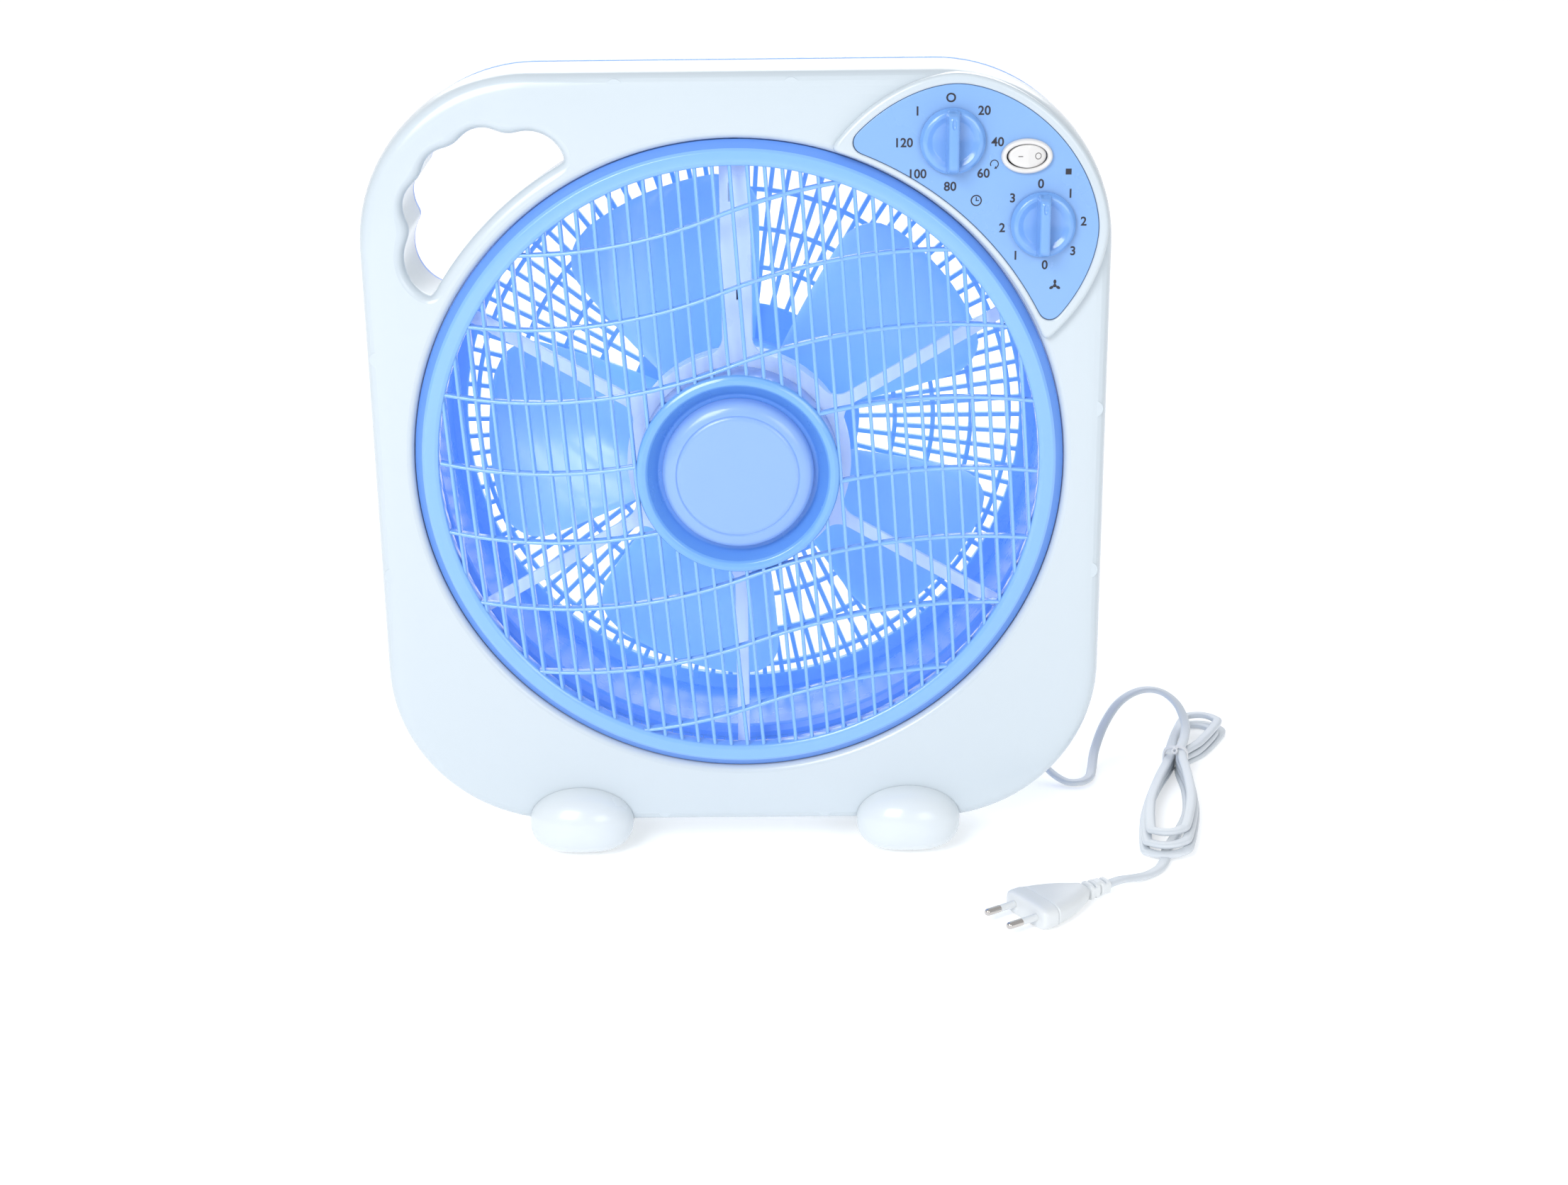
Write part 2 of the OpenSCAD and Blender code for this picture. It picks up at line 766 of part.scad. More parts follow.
module foot_bar(sides = 32) {
    rings = foot_rings();
    points = [
        for (ring = rings, k = [0:sides - 1])
            let (a = 360 * k / sides) [
                foot_size[0] * ring[1] * cos(a), ring[0] - hub_out, foot_size[2] * ring[1] * sin(a)
            ]
    ];
    walls = [
        for (i = [0:len(rings) - 2], k = [0:sides - 1])
            let (a = i * sides + k, b = i * sides + (k + 1) % sides) [a, b, b + sides, a + sides]
    ];
    nose = [for (k = [sides - 1:-1:0]) k];
    tail = [for (k = [0:sides - 1]) (len(rings) - 1) * sides + k];
    polyhedron(points, concat(walls, [nose, tail]), convexity = 4);
}

module foot(side) {
    lift = foot_size[2] + foot_lift;
    translate([side * foot_x, front_y, lift]) difference() {
        foot_bar();
        translate([-50, -gap, foot_drop - lift - gap]) cube([100, back_face + 2 * gap, 60]);
        for (d = pad_depths) translate([0, d, -lift - 1]) cylinder(r = 9.1, h = 4);
    }
}

module left_foot() color("white") foot(-1);
module right_foot() color("white") foot(1);

module foot_pads() {
    color("dimgray") for (side = [-1, 1], d = pad_depths)
        translate([side * foot_x, front_y + d, 0]) cylinder(r = 9, h = 3);
}

module housing_screws() {
    color("silver") facing() for (p = screw_spots) translate(p) {
        rod(1.4, shell_depth - 12, back_face + 1);
        rod(3.4, back_face + 0.05, back_face + 2.2);
    }
}

// ---- mains lead ----

module cord_gland() {
    color("white") translate([gland_at[0], front_y, gland_at[1]]) rotate([-90, 0, 0]) {
        translate([0, 0, shell_depth]) cylinder(r = 5.2, h = rear_edge + 1);
        translate([0, 0, back_face + gap / 2]) cylinder(r = 8, h = 3);
        translate([0, 0, back_face + 2]) cylinder(r1 = 6.4, r2 = 3.8, h = gland_out - 2);
    }
}

module power_cord() color("white") sweep_tube(smooth(cord_route, 2), cord_w / 2, cord_t / 2, 10);
module plug_lead() color("white") sweep_tube(smooth(lead_route, 2), cord_w / 2, cord_t / 2, 10);

module cord_hank() {
    color("white") linear_extrude(hank_h)
        for (i = [0:len(hank_ends) - 2]) hull() for (e = [hank_ends[i], hank_ends[i + 1]])
            translate([e[0], e[1]]) circle(e[2], $fn = 32);
}

module cord_tie() {
    color("white") translate([hank_ends[2][0], hank_ends[2][1], hank_h / 2 + 0.6]) rotate([0, 0, -11])
        difference() {
            cube([2 * hank_ends[2][2] + 4, 3.4, hank_h + 1.2], center = true);
            cube([2 * hank_ends[2][2] + 1.6, 5, hank_h - 0.4], center = true);
        }
}

module plug_frame() translate([plug_at[0], plug_at[1], 0]) rotate([0, 0, plug_angle]) children();

module plug_body() {
    color("white") plug_frame() difference() {
        union() {
            linear_extrude(13.7) polygon([
                [0, -16.5], [1, -17.4], [7, -17.6], [12, -16.4], [plug_length, -6.5],
                [plug_length, 6.5], [12, 16.4], [7, 17.6], [1, 17.4], [0, 16.5],
            ]);
            translate([plug_length - 1, -5, 2]) cube([relief_length + 1, 10, 9.8]);
        }
        for (x = [2:4:relief_length - 3], s = [-1, 1])
            translate([plug_length + x, s * 5 - 1.5, 1]) cube([1.6, 3, 12]);
    }
}

module plug_pins() {
    color("silver") plug_frame() for (s = [-1, 1])
        translate([-pin_length, s * pin_spacing / 2, pin_z]) rotate([0, 90, 0]) {
            cylinder(r = 2, h = pin_length - 0.02);
        }
}

front_housing();
rear_housing();
air_duct();
rear_grille();
motor_spider();
carrier_ring();
wire_duct_cover();
fan_blade();
blade_nut();
motor_shaft();
motor_rotor();
motor_bearings();
motor_front_bell();
motor_rear_bell();
stator_core();
stator_windings();
motor_screws();
rotor_grille();
grille_cap();
grille_clip();
drive_shaft();
grille_motor();
control_panel();
timer_knob();
timer_shaft();
timer_body();
speed_knob();
speed_shaft();
speed_switch();
rocker_bezel();
rocker();
rocker_switch();
run_capacitor();
terminal_block();
wiring();
left_foot();
right_foot();
foot_pads();
housing_screws();
panel_screws();
cord_gland();
power_cord();
plug_lead();
cord_hank();
cord_tie();
plug_body();
plug_pins();
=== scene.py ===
"""Box fan with a turning front grille: its looks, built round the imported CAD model. Metres."""

import json
import math

import bmesh
import bpy
from mathutils import Matrix, Vector
from mathutils.geometry import tessellate_polygon

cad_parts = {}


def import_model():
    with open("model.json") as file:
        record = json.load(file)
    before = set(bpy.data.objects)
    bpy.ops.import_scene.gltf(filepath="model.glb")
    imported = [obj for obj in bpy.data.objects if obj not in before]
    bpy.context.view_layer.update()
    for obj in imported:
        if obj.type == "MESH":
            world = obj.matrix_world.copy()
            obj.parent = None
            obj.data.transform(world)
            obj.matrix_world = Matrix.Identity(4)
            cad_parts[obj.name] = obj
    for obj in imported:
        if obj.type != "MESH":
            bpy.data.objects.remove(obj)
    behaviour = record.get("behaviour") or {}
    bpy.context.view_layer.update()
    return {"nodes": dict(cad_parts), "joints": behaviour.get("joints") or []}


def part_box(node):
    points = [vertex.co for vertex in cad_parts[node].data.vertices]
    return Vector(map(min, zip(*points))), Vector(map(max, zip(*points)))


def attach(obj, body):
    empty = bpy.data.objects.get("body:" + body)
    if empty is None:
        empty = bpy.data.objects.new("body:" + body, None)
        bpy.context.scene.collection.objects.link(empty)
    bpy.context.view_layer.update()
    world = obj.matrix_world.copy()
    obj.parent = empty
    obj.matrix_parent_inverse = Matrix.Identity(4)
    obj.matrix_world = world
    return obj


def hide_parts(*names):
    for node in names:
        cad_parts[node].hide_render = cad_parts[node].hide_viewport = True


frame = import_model()

MM = 0.001
JOINTS = {joint["name"]: joint for joint in frame["joints"]}

# ---------------------------------------------------------------- places, from the frame

PANEL_RAISE = 5.0                  # height of the panel's rim above the front face, mm
FACE_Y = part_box("front_housing")[0].y + PANEL_RAISE * MM
AXIS_Z = JOINTS["blade_spin"]["pos_m"][2]


def size_mm(node):
    low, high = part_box(node)
    return (high - low) / MM


def front_view(place):
    """Where a place in the frame lies in the front view: x to the right and y up, in mm."""
    return place[0] / MM, (place[2] - AXIS_Z) / MM


def depth_of(y):
    return (y - FACE_Y) / MM


BODY_W = size_mm("front_housing").x
BODY_H = size_mm("front_housing").z
SHELL_DEPTH = depth_of(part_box("front_housing")[1].y)
BACK_FACE = SHELL_DEPTH + 5.0
CORNER_R = 92.0
OPENING_R = 175.0
LIP_R = 174.1                      # the front shell's edge round the turning grille
TIMER_AT = front_view(JOINTS["timer_turn"]["pos_m"])
SPEED_AT = front_view(JOINTS["speed_turn"]["pos_m"])
ROCKER_AT = front_view(JOINTS["rocker_tilt"]["pos_m"])
FASCIA_TOP = -depth_of(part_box("control_panel")[0].y)


def world(x, y, depth):
    """A point of the front view, in mm, depth counted back from the front face, as a place in the frame."""
    return Vector((x * MM, FACE_Y + depth * MM, AXIS_Z + y * MM))


# ---------------------------------------------------------------- mesh helpers

def new_object(name, vertices, faces, material=None):
    mesh = bpy.data.meshes.new(name)
    mesh.from_pydata([tuple(v) for v in vertices], [], faces)
    obj = bpy.data.objects.new(name, mesh)
    bpy.context.scene.collection.objects.link(obj)
    clean(obj)
    if material:
        mesh.materials.append(material)
    return obj


def clean(obj, distance=2e-6):
    bm = bmesh.new()
    bm.from_mesh(obj.data)
    bmesh.ops.remove_doubles(bm, verts=bm.verts, dist=distance)
    bmesh.ops.dissolve_degenerate(bm, edges=bm.edges, dist=distance / 2)
    bmesh.ops.delete(bm, geom=[e for e in bm.edges if not e.link_faces], context="EDGES")
    bmesh.ops.triangulate(bm, faces=[f for f in bm.faces if len(f.verts) > 4])
    bmesh.ops.recalc_face_normals(bm, faces=bm.faces)
    bm.to_mesh(obj.data)
    bm.free()


def settle(obj):
    """Applies an object's modifiers to its mesh."""
    bpy.context.view_layer.update()
    graph = bpy.context.evaluated_depsgraph_get()
    mesh = bpy.data.meshes.new_from_object(obj.evaluated_get(graph))
    obj.modifiers.clear()
    obj.data = mesh
    return obj


def boolean(obj, tool, operation="DIFFERENCE", solver="MANIFOLD"):
    modifier = obj.modifiers.new("boolean", "BOOLEAN")
    modifier.operation = operation
    modifier.solver = solver
    modifier.object = tool
    settle(obj)
    clean(obj, 1e-7)
    bpy.data.objects.remove(tool)
    return obj


def join(parts, name):
    """One object out of several, with each part's own material."""
    bm = bmesh.new()
    materials = []
    for part in parts:
        start = len(bm.faces)
        bm.from_mesh(part.data)
        bm.faces.ensure_lookup_table()
        slots = []
        for material in part.data.materials:
            if material not in materials:
                materials.append(material)
            slots.append(materials.index(material))
        for face in bm.faces[start:]:
            face.material_index = slots[face.material_index] if slots else 0
    mesh = bpy.data.meshes.new(name)
    bm.to_mesh(mesh)
    bm.free()
    for material in materials:
        mesh.materials.append(material)
    for part in parts:
        bpy.data.objects.remove(part)
    obj = bpy.data.objects.new(name, mesh)
    bpy.context.scene.collection.objects.link(obj)
    return obj


def shade(obj, angle=38, weighted=True):
    """Smooth shading up to an angle, with flat faces kept flat."""
    obj.data.shade_smooth()
    obj.data.set_sharp_from_angle(angle=math.radians(angle))
    if weighted:
        modifier = obj.modifiers.new("normals", "WEIGHTED_NORMAL")
        modifier.keep_sharp = True
        modifier.weight = 80
        settle(obj)
    return obj


def paint(obj, material):
    obj.data.materials.clear()
    obj.data.materials.append(material)
    obj.data.polygons.foreach_set("material_index", [0] * len(obj.data.polygons))
    return obj


def tint(obj, material, test):
    """Gives another material to the faces whose middle passes a test of radius and depth."""
    obj.data.materials.append(material)
    for face in obj.data.polygons:
        if test(math.hypot(*front_view(face.center)), depth_of(face.center.y)):
            face.material_index = len(obj.data.materials) - 1
    return obj


def loft(name, rings, material=None, ring_loop=False):
    """Skins a run of equal rings. It is closed by end caps, or by joining its last ring to its first."""
    sides = len(rings[0])
    count = len(rings)
    vertices = [point for ring in rings for point in ring]
    faces = []
    for i in range(count if ring_loop else count - 1):
        for k in range(sides):
            here, there = i * sides, (i + 1) % count * sides
            faces.append((here + k, here + (k + 1) % sides, there + (k + 1) % sides, there + k))
    if not ring_loop:
        faces.append(tuple(range(sides - 1, -1, -1)))
        faces.append(tuple((count - 1) * sides + k for k in range(sides)))
    return new_object(name, vertices, faces, material)


def lathe(name, section, material=None, centre=(0, 0), sides=180):
    """Turns a closed section of (radius, depth) points about a line along the fan's axis."""
    rings = []
    for k in range(sides):
        angle = math.tau * k / sides
        c, s = math.cos(angle), math.sin(angle)
        rings.append([world(centre[0] + r * c, centre[1] + r * s, d) for r, d in section])
    return loft(name, rings, material, ring_loop=True)


def fillet(corners, steps=5):
    """Closed outline through (x, y, radius) corners, each rounded by an arc."""
    outline = []
    count = len(corners)
    for i, (x, y, radius) in enumerate(corners):
        corner = Vector((x, y))
        back = (Vector(corners[i - 1][:2]) - corner).normalized()
        ahead = (Vector(corners[(i + 1) % count][:2]) - corner).normalized()
        if radius <= 0:
            outline.append((x, y))
            continue
        half = back.angle(ahead) / 2
        centre = corner + (back + ahead).normalized() * (radius / math.sin(half))
        start = corner + back * (radius / math.tan(half)) - centre
        end = corner + ahead * (radius / math.tan(half)) - centre
        first = math.atan2(start.y, start.x)
        sweep = (math.atan2(end.y, end.x) - first + math.pi) % math.tau - math.pi
        for k in range(steps + 1):
            angle = first + sweep * k / steps
            outline.append((centre.x + radius * math.cos(angle), centre.y + radius * math.sin(angle)))
    return outline


def area(loop):
    return sum(loop[i - 1][0] * loop[i][1] - loop[i][0] * loop[i - 1][1] for i in range(len(loop))) / 2


def grow(loop, distance):
    """Moves a counter-clockwise outline outwards along its normals."""
    count = len(loop)
    out = []
    for i, (x, y) in enumerate(loop):
        ax, ay = loop[i - 1]
        bx, by = loop[(i + 1) % count]
        run = Vector((bx - ax, by - ay)).normalized()
        out.append((x + run.y * distance, y - run.x * distance))
    return out


def relax(loop, times):
    for _ in range(times):
        count = len(loop)
        loop = [
            tuple((loop[i - 1][a] + 2 * loop[i][a] + loop[(i + 1) % count][a]) / 4 for a in (0, 1))
            for i in range(count)
        ]
    return loop


def swell(loop, distance):
    """Moves an outline with sharp bends out or in by small smoothed steps, so it never crosses itself."""
    steps = max(1, round(abs(distance) / 0.4))
    for _ in range(steps):
        loop = relax(grow(loop, distance / steps), 2 if distance > 0 else 1)
    return loop


def even(loop, spacing):
    """The same closed outline with evenly spaced points, counter-clockwise."""
    if area(loop) < 0:
        loop = loop[::-1]
    points = loop + loop[:1]
    lengths = [0.0]
    for a, b in zip(points, points[1:]):
        lengths.append(lengths[-1] + math.dist(a, b))
    count = max(12, round(lengths[-1] / spacing))
    out = []
    k = 0
    for i in range(count):
        target = lengths[-1] * i / count
        while lengths[k + 1] < target:
            k += 1
        share = (target - lengths[k]) / (lengths[k + 1] - lengths[k])
        out.append(tuple(points[k][a] + (points[k + 1][a] - points[k][a]) * share for a in (0, 1)))
    return out


def cut_loops(node, depth):
    """The closed outlines, in the front view, of a CAD node cut at a depth."""
    bm = bmesh.new()
    bm.from_mesh(frame["nodes"][node].data)
    bmesh.ops.remove_doubles(bm, verts=bm.verts, dist=1e-6)
    cut = bmesh.ops.bisect_plane(
        bm, geom=bm.verts[:] + bm.edges[:] + bm.faces[:], dist=1e-7,
        plane_co=(0, FACE_Y + depth * MM, 0), plane_no=(0, 1, 0))["geom_cut"]
    edges = {e for e in cut if isinstance(e, bmesh.types.BMEdge)}
    loops = []
    while edges:
        first = edges.pop()
        start, here = first.verts
        loop = [start, here]
        while here is not start:
            step = next((e for e in here.link_edges if e in edges), None)
            if step is None:
                break
            edges.discard(step)
            here = step.other_vert(here)
            loop.append(here)
        if here is start:
            loops.append([front_view(v.co) for v in loop[:-1]])
    bm.free()
    return loops


def centre_of(loop):
    return sum(p[0] for p in loop) / len(loop), sum(p[1] for p in loop) / len(loop)


def ring_at(loop, depth):
    return [world(x, y, depth) for x, y in loop]


def smooth_path(points, steps):
    """Points along a smooth curve through a route, with steps between neighbours."""
    path = []
    last = len(points) - 1
    for i in range(last):
        a, b, c, d = (Vector(points[max(0, min(last, k))]) for k in (i - 1, i, i + 1, i + 2))
        for j in range(steps):
            t = j / steps
            path.append(0.5 * (2 * b + (c - a) * t + (2 * a - 5 * b + 4 * c - d) * t * t
                               + (3 * b - a - 3 * c + d) * t ** 3))
    path.append(Vector(points[last]))
    return path


# ---------------------------------------------------------------- materials

def material_base(name, color, roughness, metallic=0.0):
    material = bpy.data.materials.new(name)
    material.use_nodes = True
    shader = material.node_tree.nodes["Principled BSDF"]
    shader.inputs["Base Color"].default_value = (*color, 1)
    shader.inputs["Roughness"].default_value = roughness
    shader.inputs["Metallic"].default_value = metallic
    return material, material.node_tree.nodes, material.node_tree.links, shader


def noise_node(nodes, links, place, scale, detail=3.0, rough=0.5):
    node = nodes.new("ShaderNodeTexNoise")
    node.inputs["Scale"].default_value = scale
    node.inputs["Detail"].default_value = detail
    node.inputs["Roughness"].default_value = rough
    links.new(place, node.inputs["Vector"])
    return node


def between(nodes, links, value, low, high):
    """Maps a noise value onto a range."""
    node = nodes.new("ShaderNodeMapRange")
    node.inputs["From Min"].default_value = 0.3
    node.inputs["From Max"].default_value = 0.7
    node.inputs["To Min"].default_value = low
    node.inputs["To Max"].default_value = high
    links.new(value, node.inputs["Value"])
    return node.outputs["Result"]


def plastic(name, color, roughness=0.3, mottle=0.015, grain=0.00002, spread=0.05, glow=0.0, glow_mm=4.0,
            coat=0.0, painted_glow=0.0):
    """Moulded plastic: faint colour clouds, uneven gloss and a fine orange-peel surface, and on request a
    painted glow: emission standing in for light through thin plastic.
    """
    material, nodes, links, shader = material_base(name, color, roughness)
    place = nodes.new("ShaderNodeTexCoord").outputs["Object"]
    clouds = noise_node(nodes, links, place, 9.0, 2.0)
    ramp = nodes.new("ShaderNodeValToRGB")
    ramp.color_ramp.elements[0].position = 0.3
    ramp.color_ramp.elements[1].position = 0.7
    ramp.color_ramp.elements[0].color = (*(c * (1 - mottle) for c in color), 1)
    ramp.color_ramp.elements[1].color = (*(min(1, c * (1 + mottle)) for c in color), 1)
    links.new(clouds.outputs["Fac"], ramp.inputs["Fac"])
    links.new(ramp.outputs["Color"], shader.inputs["Base Color"])
    patches = noise_node(nodes, links, place, 45.0, 4.0)
    links.new(between(nodes, links, patches.outputs["Fac"], roughness - spread, roughness + spread),
              shader.inputs["Roughness"])
    peel = noise_node(nodes, links, place, 420.0, 2.0)
    bump = nodes.new("ShaderNodeBump")
    bump.inputs["Strength"].default_value = 0.35
    bump.inputs["Distance"].default_value = grain
    links.new(peel.outputs["Fac"], bump.inputs["Height"])
    links.new(bump.outputs["Normal"], shader.inputs["Normal"])
    shader.inputs["IOR"].default_value = 1.5
    shader.inputs["Coat Weight"].default_value = coat
    shader.inputs["Coat Roughness"].default_value = 0.08
    if painted_glow:                            # painted glow: emission standing in for daylight through thin plastic
        shader.inputs["Emission Color"].default_value = (*color, 1)
        shader.inputs["Emission Strength"].default_value = painted_glow
    if glow:
        shader.inputs["Subsurface Weight"].default_value = glow
        shader.inputs["Subsurface Radius"].default_value = (1.0, 1.0, 1.0)
        shader.inputs["Subsurface Scale"].default_value = glow_mm * MM
    return material


def metal(name, color, roughness, grain_scale=(60, 60, 900), grain=0.00001):
    """Ground or plated metal with fine streaks."""
    material, nodes, links, shader = material_base(name, color, roughness, 1.0)
    place = nodes.new("ShaderNodeTexCoord").outputs["Object"]
    stretch = nodes.new("ShaderNodeMapping")
    stretch.inputs["Scale"].default_value = grain_scale
    links.new(place, stretch.inputs["Vector"])
    streaks = noise_node(nodes, links, stretch.outputs["Vector"], 3.0, 4.0)
    links.new(between(nodes, links, streaks.outputs["Fac"], roughness * 0.7, roughness * 1.4),
              shader.inputs["Roughness"])
    bump = nodes.new("ShaderNodeBump")
    bump.inputs["Strength"].default_value = 0.3
    bump.inputs["Distance"].default_value = grain
    links.new(streaks.outputs["Fac"], bump.inputs["Height"])
    links.new(bump.outputs["Normal"], shader.inputs["Normal"])
    return material


def rubbery(name, color, roughness=0.6):
    """Soft vinyl or rubber with a fine, even grain."""
    material, nodes, links, shader = material_base(name, color, roughness)
    place = nodes.new("ShaderNodeTexCoord").outputs["Object"]
    clouds = noise_node(nodes, links, place, 30.0, 3.0)
    ramp = nodes.new("ShaderNodeValToRGB")
    ramp.color_ramp.elements[0].position = 0.3
    ramp.color_ramp.elements[1].position = 0.7
    ramp.color_ramp.elements[0].color = (*(c * 0.97 for c in color), 1)
    ramp.color_ramp.elements[1].color = (*color, 1)
    links.new(clouds.outputs["Fac"], ramp.inputs["Fac"])
    links.new(ramp.outputs["Color"], shader.inputs["Base Color"])
    grain = noise_node(nodes, links, place, 1500.0, 3.0)
    links.new(between(nodes, links, grain.outputs["Fac"], roughness - 0.06, roughness + 0.06),
              shader.inputs["Roughness"])
    bump = nodes.new("ShaderNodeBump")
    bump.inputs["Strength"].default_value = 0.4
    bump.inputs["Distance"].default_value = 0.00002
    links.new(grain.outputs["Fac"], bump.inputs["Height"])
    links.new(bump.outputs["Normal"], shader.inputs["Normal"])
    return material


def windings_material():
    """Copper wire wound round the motor's axis."""
    material, nodes, links, shader = material_base("enamelled_copper", (0.45, 0.14, 0.05), 0.3, 0.9)
    place = nodes.new("ShaderNodeTexCoord").outputs["Object"]
    shift = nodes.new("ShaderNodeMapping")
    shift.inputs["Location"].default_value = (0, 0, -AXIS_Z)
    links.new(place, shift.inputs["Vector"])
    wires = nodes.new("ShaderNodeTexWave")
    wires.wave_type = "RINGS"
    wires.rings_direction = "Y"
    wires.inputs["Scale"].default_value = 420.0
    wires.inputs["Distortion"].default_value = 1.5
    links.new(shift.outputs["Vector"], wires.inputs["Vector"])
    bump = nodes.new("ShaderNodeBump")
    bump.inputs["Strength"].default_value = 0.8
    bump.inputs["Distance"].default_value = 0.0003
    links.new(wires.outputs["Fac"], bump.inputs["Height"])
    links.new(bump.outputs["Normal"], shader.inputs["Normal"])
    return material


WHITE = plastic("white_housing", (0.54, 0.605, 0.655), 0.24, mottle=0.005, spread=0.02, coat=0.15)
FOOT_WHITE = plastic("white_foot", (0.66, 0.71, 0.74), 0.24, coat=0.2)
WARM_WHITE = plastic("warm_white", (0.68, 0.67, 0.66), 0.22, coat=0.3)
BLUE = plastic("blue_shell", (0.17, 0.38, 0.90), 0.28, mottle=0.03, glow=0.3)
# The rear grille, blade, front grille, duct and carrier blues carry a painted glow: emission standing in for
# light through the plastic.
REAR_BLUE = plastic("blue_rear_grille", (0.22, 0.47, 0.98), 0.3, mottle=0.02, glow=0.5, painted_glow=0.25)
BLADE_BLUE = plastic("blue_blade", (0.34, 0.62, 1.0), 0.2, mottle=0.015, glow=0.6, coat=0.2, painted_glow=0.16)
GRILLE_BLUE = plastic("light_blue_grille", (0.205, 0.42, 0.82), 0.16, mottle=0.01, spread=0.02, glow=0.25,
                      glow_mm=3.0, coat=0.5,
                      painted_glow=0.05)
# painted shade: a deeper blue for the ring's steep outer side, standing in for the shade that falls there
RING_SIDE_SHADE_BLUE = plastic("blue_ring_side_painted_shade", (0.13, 0.30, 0.76), 0.2, mottle=0.01, glow=0.2, glow_mm=3.0)
HUB_BLUE = plastic("blue_hub", (0.165, 0.385, 0.78), 0.18, mottle=0.01, glow=0.2, glow_mm=3.0, coat=0.4)
# painted shade: a darker copy of the hub's blue for its recess, where the cap's shadow falls
RECESS_SHADE_BLUE = plastic("blue_recess_painted_shade", (0.10, 0.27, 0.70), 0.25, mottle=0.01, glow=0.2, glow_mm=3.0)
DUCT_BLUE = plastic("blue_duct", (0.19, 0.42, 0.90), 0.28, mottle=0.02, glow=0.3, painted_glow=0.16)
CAP_BLUE = plastic("light_blue_cap", (0.235, 0.40, 0.78), 0.22, mottle=0.015, glow=0.15, coat=0.2)
LILAC = plastic("pale_lilac", (0.62, 0.76, 1.0), 0.3, mottle=0.02, glow=0.4, painted_glow=0.22)
PANEL_BLUE = plastic("blue_panel", (0.21, 0.39, 0.72), 0.24, mottle=0.01, coat=0.2)
KNOB_BLUE = plastic("light_blue_knob", (0.17, 0.36, 0.74), 0.18, mottle=0.015, glow=0.1, coat=0.4)
INK = plastic("black_ink", (0.02, 0.02, 0.03), 0.5, mottle=0.1)
GREY_INK = plastic("grey_ink", (0.16, 0.15, 0.15), 0.5, mottle=0.1)
VINYL = rubbery("white_vinyl", (0.62, 0.66, 0.70), 0.42)
PLUG_WHITE = rubbery("white_plug", (0.70, 0.725, 0.735), 0.36)
TIE_WHITE = rubbery("white_tie", (0.72, 0.73, 0.75), 0.4)
RUBBER = rubbery("grey_rubber", (0.10, 0.10, 0.11), 0.75)
NICKEL = metal("nickel_plate", (0.62, 0.58, 0.54), 0.18, (400, 400, 400))
STEEL = metal("ground_steel", (0.55, 0.56, 0.58), 0.28, (900, 60, 900))
ZINC = metal("zinc_plate", (0.60, 0.61, 0.63), 0.32, (300, 300, 300))
CAST = metal("die_cast", (0.58, 0.59, 0.61), 0.45, (120, 120, 120), 0.00006)
LAMINATE = metal("laminated_steel", (0.30, 0.31, 0.33), 0.4, (30, 2200, 30), 0.00008)
BRONZE = metal("sintered_bronze", (0.50, 0.30, 0.13), 0.45, (500, 500, 500), 0.00003)
COPPER = windings_material()
BLACK = plastic("black_plastic", (0.02, 0.02, 0.022), 0.4, mottle=0.2)
BROWN = plastic("brown_plastic", (0.13, 0.05, 0.025), 0.4, mottle=0.15)
IVORY = plastic("ivory_plastic", (0.75, 0.72, 0.62), 0.4, mottle=0.04)

CAD_LOOKS = {
    "wire_duct_cover": LILAC, "blade_nut": WARM_WHITE, "motor_shaft": STEEL, "motor_rotor": LAMINATE,
    "motor_bearings": BRONZE, "motor_front_bell": CAST, "motor_rear_bell": CAST, "stator_core": LAMINATE,
    "stator_windings": COPPER, "motor_screws": ZINC, "grille_clip": STEEL, "drive_shaft": STEEL,
    "grille_motor": ZINC, "timer_shaft": STEEL, "timer_body": IVORY, "speed_shaft": STEEL,
    "speed_switch": BROWN, "rocker_switch": BLACK, "run_capacitor": BLACK, "terminal_block": IVORY,
    "wiring": BLACK, "foot_pads": RUBBER, "panel_screws": ZINC,
}
for node_name, look in CAD_LOOKS.items():
    paint(frame["nodes"][node_name], look)


def stand_for(obj, body, *nodes):
    """obj moves with a body and is shown instead of CAD nodes."""
    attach(obj, body)
    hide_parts(*nodes)
    return obj


# ---------------------------------------------------------------- camera

def add_camera():
    data = bpy.data.cameras.new("camera")
    data.sensor_width = 36.0
    data.lens = 52.5
    data.clip_end = 30.0
    camera = bpy.data.objects.new("camera", data)
    bpy.context.scene.collection.objects.link(camera)
    turn = (Matrix.Rotation(math.radians(0.545), 4, "Z")
            @ Matrix.Rotation(math.radians(90 - 18.695), 4, "X")
            @ Matrix.Rotation(math.radians(-0.662), 4, "Z"))
    camera.matrix_world = Matrix.Translation((0.0347, -1.2287, 0.5537)) @ turn
    bpy.context.scene.camera = camera


add_camera()

# ---------------------------------------------------------------- mains lead

CORD_W = 5.8                       # mm across the flat lead
CORD_T = 3.4
HANK_LAYERS = 4                    # levels that the lead's runs lie in
LAYER_STEP = 3.65

# Route of the lead outside its hank, in the frame's own millimetres
CORD_ROUTE = [
    (150, 44.5, 60), (150, 58, 59), (152, 70, 52), (158, 77, 40), (165, 73, 26), (173, 61, 14),
    (182, 49, 6), (191, 41, 2.4), (200, 41, 2), (206, 48, 2), (209, 60, 2.6), (213, 79, 7),
    (221, 97, 17), (232, 111, 26), (246, 120, 30), (259, 120, 29), (268, 111, 24), (271, 96, 17),
]
LEAD_ROUTE = [
    (197.4, -108.6, 7), (205, -102, 6.2), (213, -95, 3.8), (222, -88, 2.2), (230, -79, 2.2), (235, -66, 2.2),
]
HANK_BOTTOM = Vector((238, -52))
HANK_BELLY = Vector((246, -10))
HANK_TIE = Vector((260, 62))
HANK_TOP = Vector((284, 118))


def layer_height(level):
    return CORD_T / 2 + 0.3 + LAYER_STEP * level


